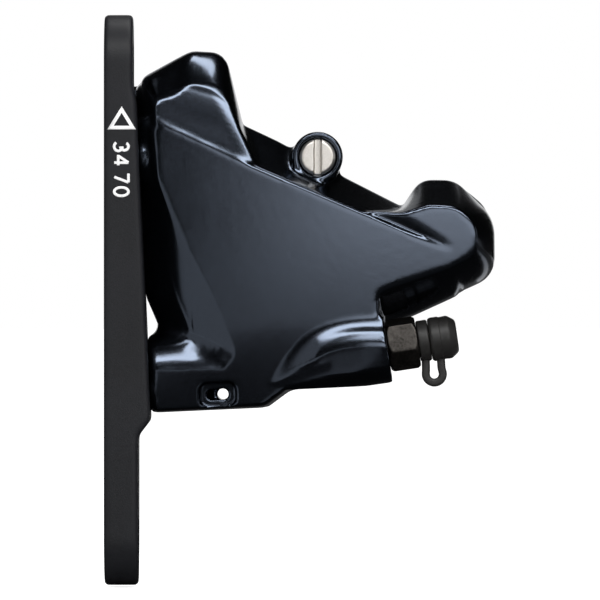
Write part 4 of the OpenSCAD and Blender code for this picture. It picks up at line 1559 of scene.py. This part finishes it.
@dataclass
class BleedScrew:
    """Bleed nipple with its hexagon, and the rubber collar, loop and cap on its spout.

    nut, thread, spout, collar and cap are spans along the axis. loop_from and loop_to are (down from
    the axis, along from the collar's or the cap's start), and drop is where the loop's arc has its
    middle.
    """

    room: float = 4.6
    cell: float = 0.16
    along: tuple[float, float, float] = (-8.2, 9.7, 0.2)
    close: tuple[float, float, float] = (-0.3, 5.0, 0.14)
    hexagon: float = 7.0
    hexagon_turn: float = math.radians(15)
    hexagon_bevel: float = 0.5
    nut: tuple[float, float] = (0.05, 4.5)
    thread_r: float = 3.0
    thread_tip_r: float = 1.2
    thread: tuple[float, float] = (-7.7, 1.0)
    spout_r: float = 2.2
    spout_tip_r: float = 1.6
    spout: tuple[float, float] = (0.2, 9.2)
    bore_r: float = 0.8
    bore_from: float = -4.0
    rubber_bore: float = 2.25
    collar: tuple[float, float] = (4.55, 6.25)
    collar_r: float = 3.05
    cap: tuple[float, float] = (6.3, 10.4)
    cap_r: float = 3.25
    cap_gap: float = 0.05
    turns: int = 72
    loop_r: float = 1.28
    loop_from: tuple[float, float] = (2.75, 0.75)
    loop_to: tuple[float, float] = (2.8, 1.25)
    loop_shift: float = 0.2
    loop_turn: tuple[float, float] = (-25.0, 205.0)
    loop_section: tuple[float, float] = (1.2, 2.1)
    loop_round: float = 0.38
    drop: float = 5.1

    def build(self) -> None:
        """Makes the steel screw and its three rubber pieces."""
        sides = ticks(-self.room, self.room, self.cell)
        grid = Grid(sides, sides, ticks(*self.along, self.close))
        x, y, z = grid.spread
        r = np.hypot(x, y)
        angles = self.hexagon_turn + np.radians([0, 60, 120])
        flats = common(*(np.abs(x * math.cos(a) + y * math.sin(a)) for a in angles)) - self.hexagon / 2
        corner = self.hexagon / math.sqrt(3) - self.hexagon_bevel
        length = layer(z, *self.nut)
        nut = common(flats, length, rim(r, length, corner))
        thread_rim = rim(r, self.thread[0] - z, self.thread_tip_r)
        thread = common(r - self.thread_r, layer(z, *self.thread), thread_rim)
        spout_rim = rim(r, z - self.spout[1], self.spout_tip_r)
        spout = common(r - self.spout_r, layer(z, *self.spout), spout_rim)
        made = np.minimum(np.minimum(nut, thread), spout)
        made = cut(made, common(r - self.bore_r, self.bore_from - z), soft=0.15)
        dress = (PHOSPHATED, "nipple", "dark_steel", "bleed_nipple")
        net_piece("bleed_hexagon", made, grid, NIPPLE.place, *dress, passes=1)
        self.rubber()
        self.loop()

    def rubber(self) -> None:
        """Makes the collar and the cap, as profiles carried round the nipple's axis."""
        bore, (low, high) = self.rubber_bore, self.collar
        corners = [(bore, low), (self.collar_r, low), (self.collar_r, high), (bore, high)]
        points, faces = closed_lathe(eased(corners, r=0.3, loop=True), self.turns, loop=True)
        dress = (RUBBER, "nipple", "rubber", "bleed_cap_collar")
        add_piece("rubber_collar", NIPPLE.place(points), faces, *dress)
        r, (low, high), floor = self.cap_r, self.cap, self.spout[1] + self.cap_gap
        corners = [
            (0, floor), (bore, floor), (bore, low), (r - 0.25, low), (r, low + 0.35), (r, low + 1.5),
            (r - 0.12, low + 1.7), (r - 0.05, high - 1.2), (r - 0.9, high), (0, high),
        ]
        points, faces = closed_lathe(eased(corners, r=0.8, loop=False), self.turns, loop=False)
        dress = (RUBBER, "cap", "rubber", "bleed_cap")
        add_piece("rubber_cap", NIPPLE.place(points), faces, *dress)

    def loop(self) -> None:
        """Makes the loop: down from the collar, round an arc and up to the cap, evened by a moving mean."""
        start = self.loop_from[0], self.collar[0] + self.loop_from[1]
        end = self.loop_to[0], self.cap[0] + self.loop_to[1]
        middle = (start[1] + end[1]) / 2 - self.loop_shift
        turn = np.radians(np.linspace(*self.loop_turn, 40))
        arc = np.stack([self.drop + self.loop_r * np.sin(turn), middle - self.loop_r * np.cos(turn)], 1)
        path = np.concatenate([[start], arc, [end]])
        length = np.concatenate([[0], np.cumsum(np.linalg.norm(np.diff(path, axis=0), axis=1))])
        even = np.linspace(0, length[-1], 90)
        reach = 7
        kernel = np.hanning(2 * reach + 1) / np.hanning(2 * reach + 1).sum()
        lines = [np.pad(np.interp(even, length, path[:, k]), reach, mode="edge") for k in range(2)]
        down, along = (np.convolve(line, kernel, "valid") for line in lines)
        section = rounded(rectangle(*self.loop_section), np.full(4, self.loop_round), steps=4)
        points, faces = swept(np.stack([down, 0 * down, along], 1), ACROSS, section)
        made = add_piece("rubber_loop", NIPPLE.place(points), faces, RUBBER, "", "rubber", "bleed_cap_strap")
        ends = NIPPLE.place(np.array([[start[0], 0, start[1]], [end[0], 0, end[1]]]))
        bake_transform(made)


@dataclass
class BrakeWorks:
    """What moves and seals inside: pistons, rings, pads, their spring and the bolts."""

    spring_keep: float = 0.62
    plate_edge: float = 0.15
    lining_edge: float = 0.25

    def build(self) -> None:
        """Dresses the solids that keep their shape, and makes the spring as a piece of its own."""
        for side in ("outer", "inner"):
            wear_node(f"{side}_piston", CERAMIC)
            wear_node(f"{side}_piston_seal", RUBBER)
            wear_node(f"{side}_pad_plate", PHOSPHATED, self.plate_edge)
            wear_node(f"{side}_pad_lining", LINING, self.lining_edge)
        wear_node("caliper_bolts", PHOSPHATED)
        wear_node("body_bolts", PHOSPHATED)
        wear_node("crossover_seal", RUBBER)
        self.spring()

    def spring(self) -> None:
        """Copies the leaf spring's solid into a piece of its own."""
        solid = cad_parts["pad_spring"].data
        corners = np.zeros(len(solid.vertices) * 3)
        solid.vertices.foreach_get("co", corners)
        places, index = np.unique(np.round(corners.reshape(-1, 3), 8), axis=0, return_inverse=True)
        loops = np.zeros(len(solid.loops), int)
        solid.loops.foreach_get("vertex_index", loops)
        faces = index.ravel()[loops].reshape(-1, 3)
        made = add_piece("leaf_spring", places, faces, SPRING, "caliper", "bright_steel", "pad_spring")
        split_edges(made)
        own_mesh(made)


def heading(azimuth: Array | float, elevation: Array | float) -> Array:
    """Unit vectors (sin a cos e, -cos a cos e, sin e) of angles in degrees: 0 in front, 90 to the right."""
    a, e = np.radians(azimuth), np.radians(elevation)
    return np.stack([np.sin(a) * np.cos(e), -np.cos(a) * np.cos(e), np.sin(e)], -1)


@dataclass(frozen=True)
class Softbox:
    """A soft white lamp, aimed at the object.

    Angles are in degrees and sizes in metres. Brightness is its radiance, where 1 shows a white
    card as white.
    """

    name: str
    azimuth: float
    elevation: float
    distance: float
    width: float
    height: float
    brightness: float

    def build(self, centre: Vector) -> None:
        """Hangs the lamp; its power is pi times its area times its brightness.

        Args:
            centre: place that it is aimed at.
        """
        back = Vector(heading(self.azimuth, self.elevation))
        lamp = bpy.data.lights.new(self.name, "AREA")
        lamp.shape, lamp.size, lamp.size_y = "RECTANGLE", self.width, self.height
        lamp.energy = math.pi * self.width * self.height * self.brightness
        made = bpy.data.objects.new(self.name, lamp)
        made.location = centre + back * self.distance
        made.rotation_mode = "QUATERNION"
        made.rotation_quaternion = back.to_track_quat("Z", "Y")
        made.visible_camera = False
        bpy.context.scene.collection.objects.link(made)


@dataclass(frozen=True)
class Card:
    """A matt card that only mirrors show, hung round the object or laid on the floor.

    A hung card is a patch of a sphere between two azimuths and two elevations in degrees. A laid
    one lies between two places in X and two in Y, in metres.
    """

    name: str
    across: tuple[float, float]
    up: tuple[float, float]
    tone: str
    laid: bool = False
    radius: float = 1.2
    steps: tuple[int, int] = (40, 24)

    def build(self, centre: Vector, floor: float) -> None:
        """Makes the card and keeps it out of the camera's sight.

        Args:
            centre: middle of the sphere.
            floor: height that a laid card lies at.
        """
        steps = (2, 2) if self.laid else self.steps
        spans = zip((self.across, self.up), steps)
        x, y = np.meshgrid(*(np.linspace(*span, n) for span, n in spans), indexing="ij")
        if self.laid:
            points = np.stack([x, y, np.full(steps, floor)], -1)
        else:
            points = np.array(centre) + self.radius * heading(x, y)
        quads = sheet_quads(*steps)[:, TURNED_ROUND]
        made = add_object(self.name, points.reshape(-1, 3), quads, self.material())
        made.visible_camera = made.visible_diffuse = made.visible_shadow = False

    def material(self) -> bpy.types.Material:
        """Matt card of one tone, which sets how light a mirror of it looks.

        Returns:
            The card's own material.
        """
        made = bpy.data.materials.new("Matt card")
        tree = bare_tree(made)
        look = {"Base Color": linear(self.tone), "Roughness": 0.95, "Specular IOR Level": 0.0}
        shade = add_node(tree, "ShaderNodeBsdfPrincipled", look)
        add_node(tree, "ShaderNodeOutputMaterial", {"Surface": shade.outputs[0]})
        return made


@dataclass
class Studio:
    """Camera at the photograph's angle, pale floor, white surroundings, soft lamps and cards.

    The hung cards leave one opening in front and one behind, through which the paint mirrors the
    lamps and the white surroundings. The laid ones set what the lower walls mirror.
    """

    centre: tuple[float, float, float] = (28.88, -7.2, 0.0)
    distance: float = 1350.0
    across: float = 88.24
    sensor: float = 36.0
    clip: tuple[float, float] = (0.01, 50.0)
    level: float = 0.55
    floor_half: float = 12.0
    floor_gap: float = 0.0002
    card_gap: float = 0.0001
    floor_glow: float = 0.72
    floor_grain: float = 900.0
    lamps: tuple[Softbox, ...] = (
        Softbox("key softbox", 8, 43, 0.75, 0.9, 0.17, 8.5),
        Softbox("front softbox", 16, 9, 0.95, 0.55, 0.28, 1.45),
        Softbox("left softbox", -42, 8, 0.8, 0.4, 0.6, 0.5),
        Softbox("top softbox", -25, 102.5, 0.3, 0.17, 0.07, 7.5),
        Softbox("back softbox", 180, 24, 0.8, 0.5, 0.25, 0.35),
        Softbox("right softbox", 90, 6, 0.8, 0.22, 0.4, 0.7),
    )
    cards: tuple[Card, ...] = (
        Card("card_left", (-164, -3.2), (-40, 88), "#262626"),
        Card("card_right", (44, 164), (-40, 88), "#1c1c1c"),
        Card("card_top", (-3.2, 44), (22, 88), "#282828"),
        Card("card_low", (-3.2, 44), (-40, -1), "#202020"),
        Card("card_back", (164, 196), (16, 88), "#1c1c1c"),
        Card("card_under", (-0.9, 0.9), (-0.03, 0.075), "#222222", laid=True),
        Card("card_behind", (-0.9, 0.9), (0.14, 0.9), "#525252", laid=True),
        Card("card_behind_left", (-0.9, 0.08), (0.075, 0.14), "#525252", laid=True),
        Card("card_behind_right", (0.08, 0.22), (0.075, 0.14), "#e4e4e4", laid=True),
        Card("card_behind_far", (0.22, 0.9), (0.075, 0.14), "#525252", laid=True),
        Card("card_front", (-0.015, 0.027), (-0.9, -0.03), "#343434", laid=True),
        Card("card_front_middle", (0.027, 0.043), (-0.9, -0.03), "#8a8a8a", laid=True),
        Card("card_front_right", (0.043, 0.9), (-0.9, -0.03), "#343434", laid=True),
        Card("card_front_left", (-0.9, -0.015), (-0.9, -0.03), "#b0b0b0", laid=True),
    )

    def build(self) -> None:
        """Sets up camera, lamps, world, floor and cards."""
        self.camera()
        middle = Vector(self.centre) * MM
        for lamp in self.lamps:
            lamp.build(middle)
        self.world()
        self.floor()
        for card in self.cards:
            card.build(middle, CAD_BOX[0].z - self.card_gap)

    def camera(self) -> None:
        """Stands the camera square in front, far off, with a lens that spans the set width."""
        scene = bpy.context.scene
        scene.view_settings.view_transform = "Standard"
        eye = bpy.data.cameras.new("camera")
        eye.sensor_width = self.sensor
        eye.lens = self.sensor * self.distance / self.across
        eye.clip_start, eye.clip_end = self.clip
        made = bpy.data.objects.new("camera", eye)
        x, y, z = self.centre
        made.location = (x * MM, (y - self.distance) * MM, z * MM)
        made.rotation_euler = (math.pi / 2, 0, 0)
        scene.collection.objects.link(made)
        scene.camera = made

    def seen(self, tree: bpy.types.NodeTree) -> bpy.types.NodeSocket:
        """1 for rays from the camera and through mirrors and glass, else 0.

        Args:
            tree: node tree that it is worked out in.

        Returns:
            The socket with that value.
        """
        rays = add_node(tree, "ShaderNodeLightPath").outputs
        glossy = {0: rays["Is Camera Ray"], 1: rays["Is Glossy Ray"]}
        first = add_node(tree, "ShaderNodeMath", glossy, operation="MAXIMUM")
        clear = {0: first.outputs[0], 1: rays["Is Transmission Ray"]}
        return add_node(tree, "ShaderNodeMath", clear, operation="MAXIMUM").outputs[0]

    def world(self) -> None:
        """White where it is seen or mirrored, and a plain grey level where it lights."""
        world = bpy.data.worlds.new("studio")
        tree = bare_tree(world)
        ends = {"To Min": self.level, "To Max": 1.0}
        level = add_node(tree, "ShaderNodeMapRange", {"Value": self.seen(tree), **ends})
        white = {"Strength": level.outputs[0], "Color": linear("#ffffff")}
        light = add_node(tree, "ShaderNodeBackground", white)
        add_node(tree, "ShaderNodeOutputWorld", {"Surface": light.outputs[0]})
        bpy.context.scene.world = world

    def floor(self) -> None:
        """Pale floor under the plate's lower end: matt white that also glows where it is seen."""
        paper = bpy.data.materials.new("Matt white paper")
        tree = bare_tree(paper)
        at = add_node(tree, "ShaderNodeTexCoord").outputs["Object"]
        tooth = add_node(tree, "ShaderNodeTexNoise", {"Vector": at, "Scale": self.floor_grain})
        tone = add_node(tree, "ShaderNodeValToRGB", {"Fac": tooth.outputs["Fac"]})
        for stop, colour in zip(tone.color_ramp.elements, ("#f2f2f2", "#f8f8f8")):
            stop.color = linear(colour)
        matt = add_node(tree, "ShaderNodeBsdfDiffuse", {"Color": tone.outputs[0]})
        shine = {"Strength": self.seen(tree), "Color": (*[self.floor_glow] * 3, 1)}
        glow = add_node(tree, "ShaderNodeEmission", shine)
        both = add_node(tree, "ShaderNodeAddShader", {0: matt.outputs[0], 1: glow.outputs[0]})
        add_node(tree, "ShaderNodeOutputMaterial", {"Surface": both.outputs[0]})
        level = np.full((4, 1), CAD_BOX[0].z - self.floor_gap)
        points = np.hstack([rectangle(2 * self.floor_half, 2 * self.floor_half), level])
        made = add_object("floor", points, [(0, 1, 2, 3)], paper)


def main() -> None:
    """Builds every sub-assembly in order, then the studio."""
    logging.basicConfig(level=logging.INFO, format="%(name)s: %(message)s")
    for part in (OuterHalf(), InnerHalf(), ForkPlate(), PadAxle(), BleedScrew(), BrakeWorks(), Studio()):
        LOG.info("building %s", type(part).__name__)
        part.build()
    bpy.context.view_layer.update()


if __name__ == "__main__":
    main()
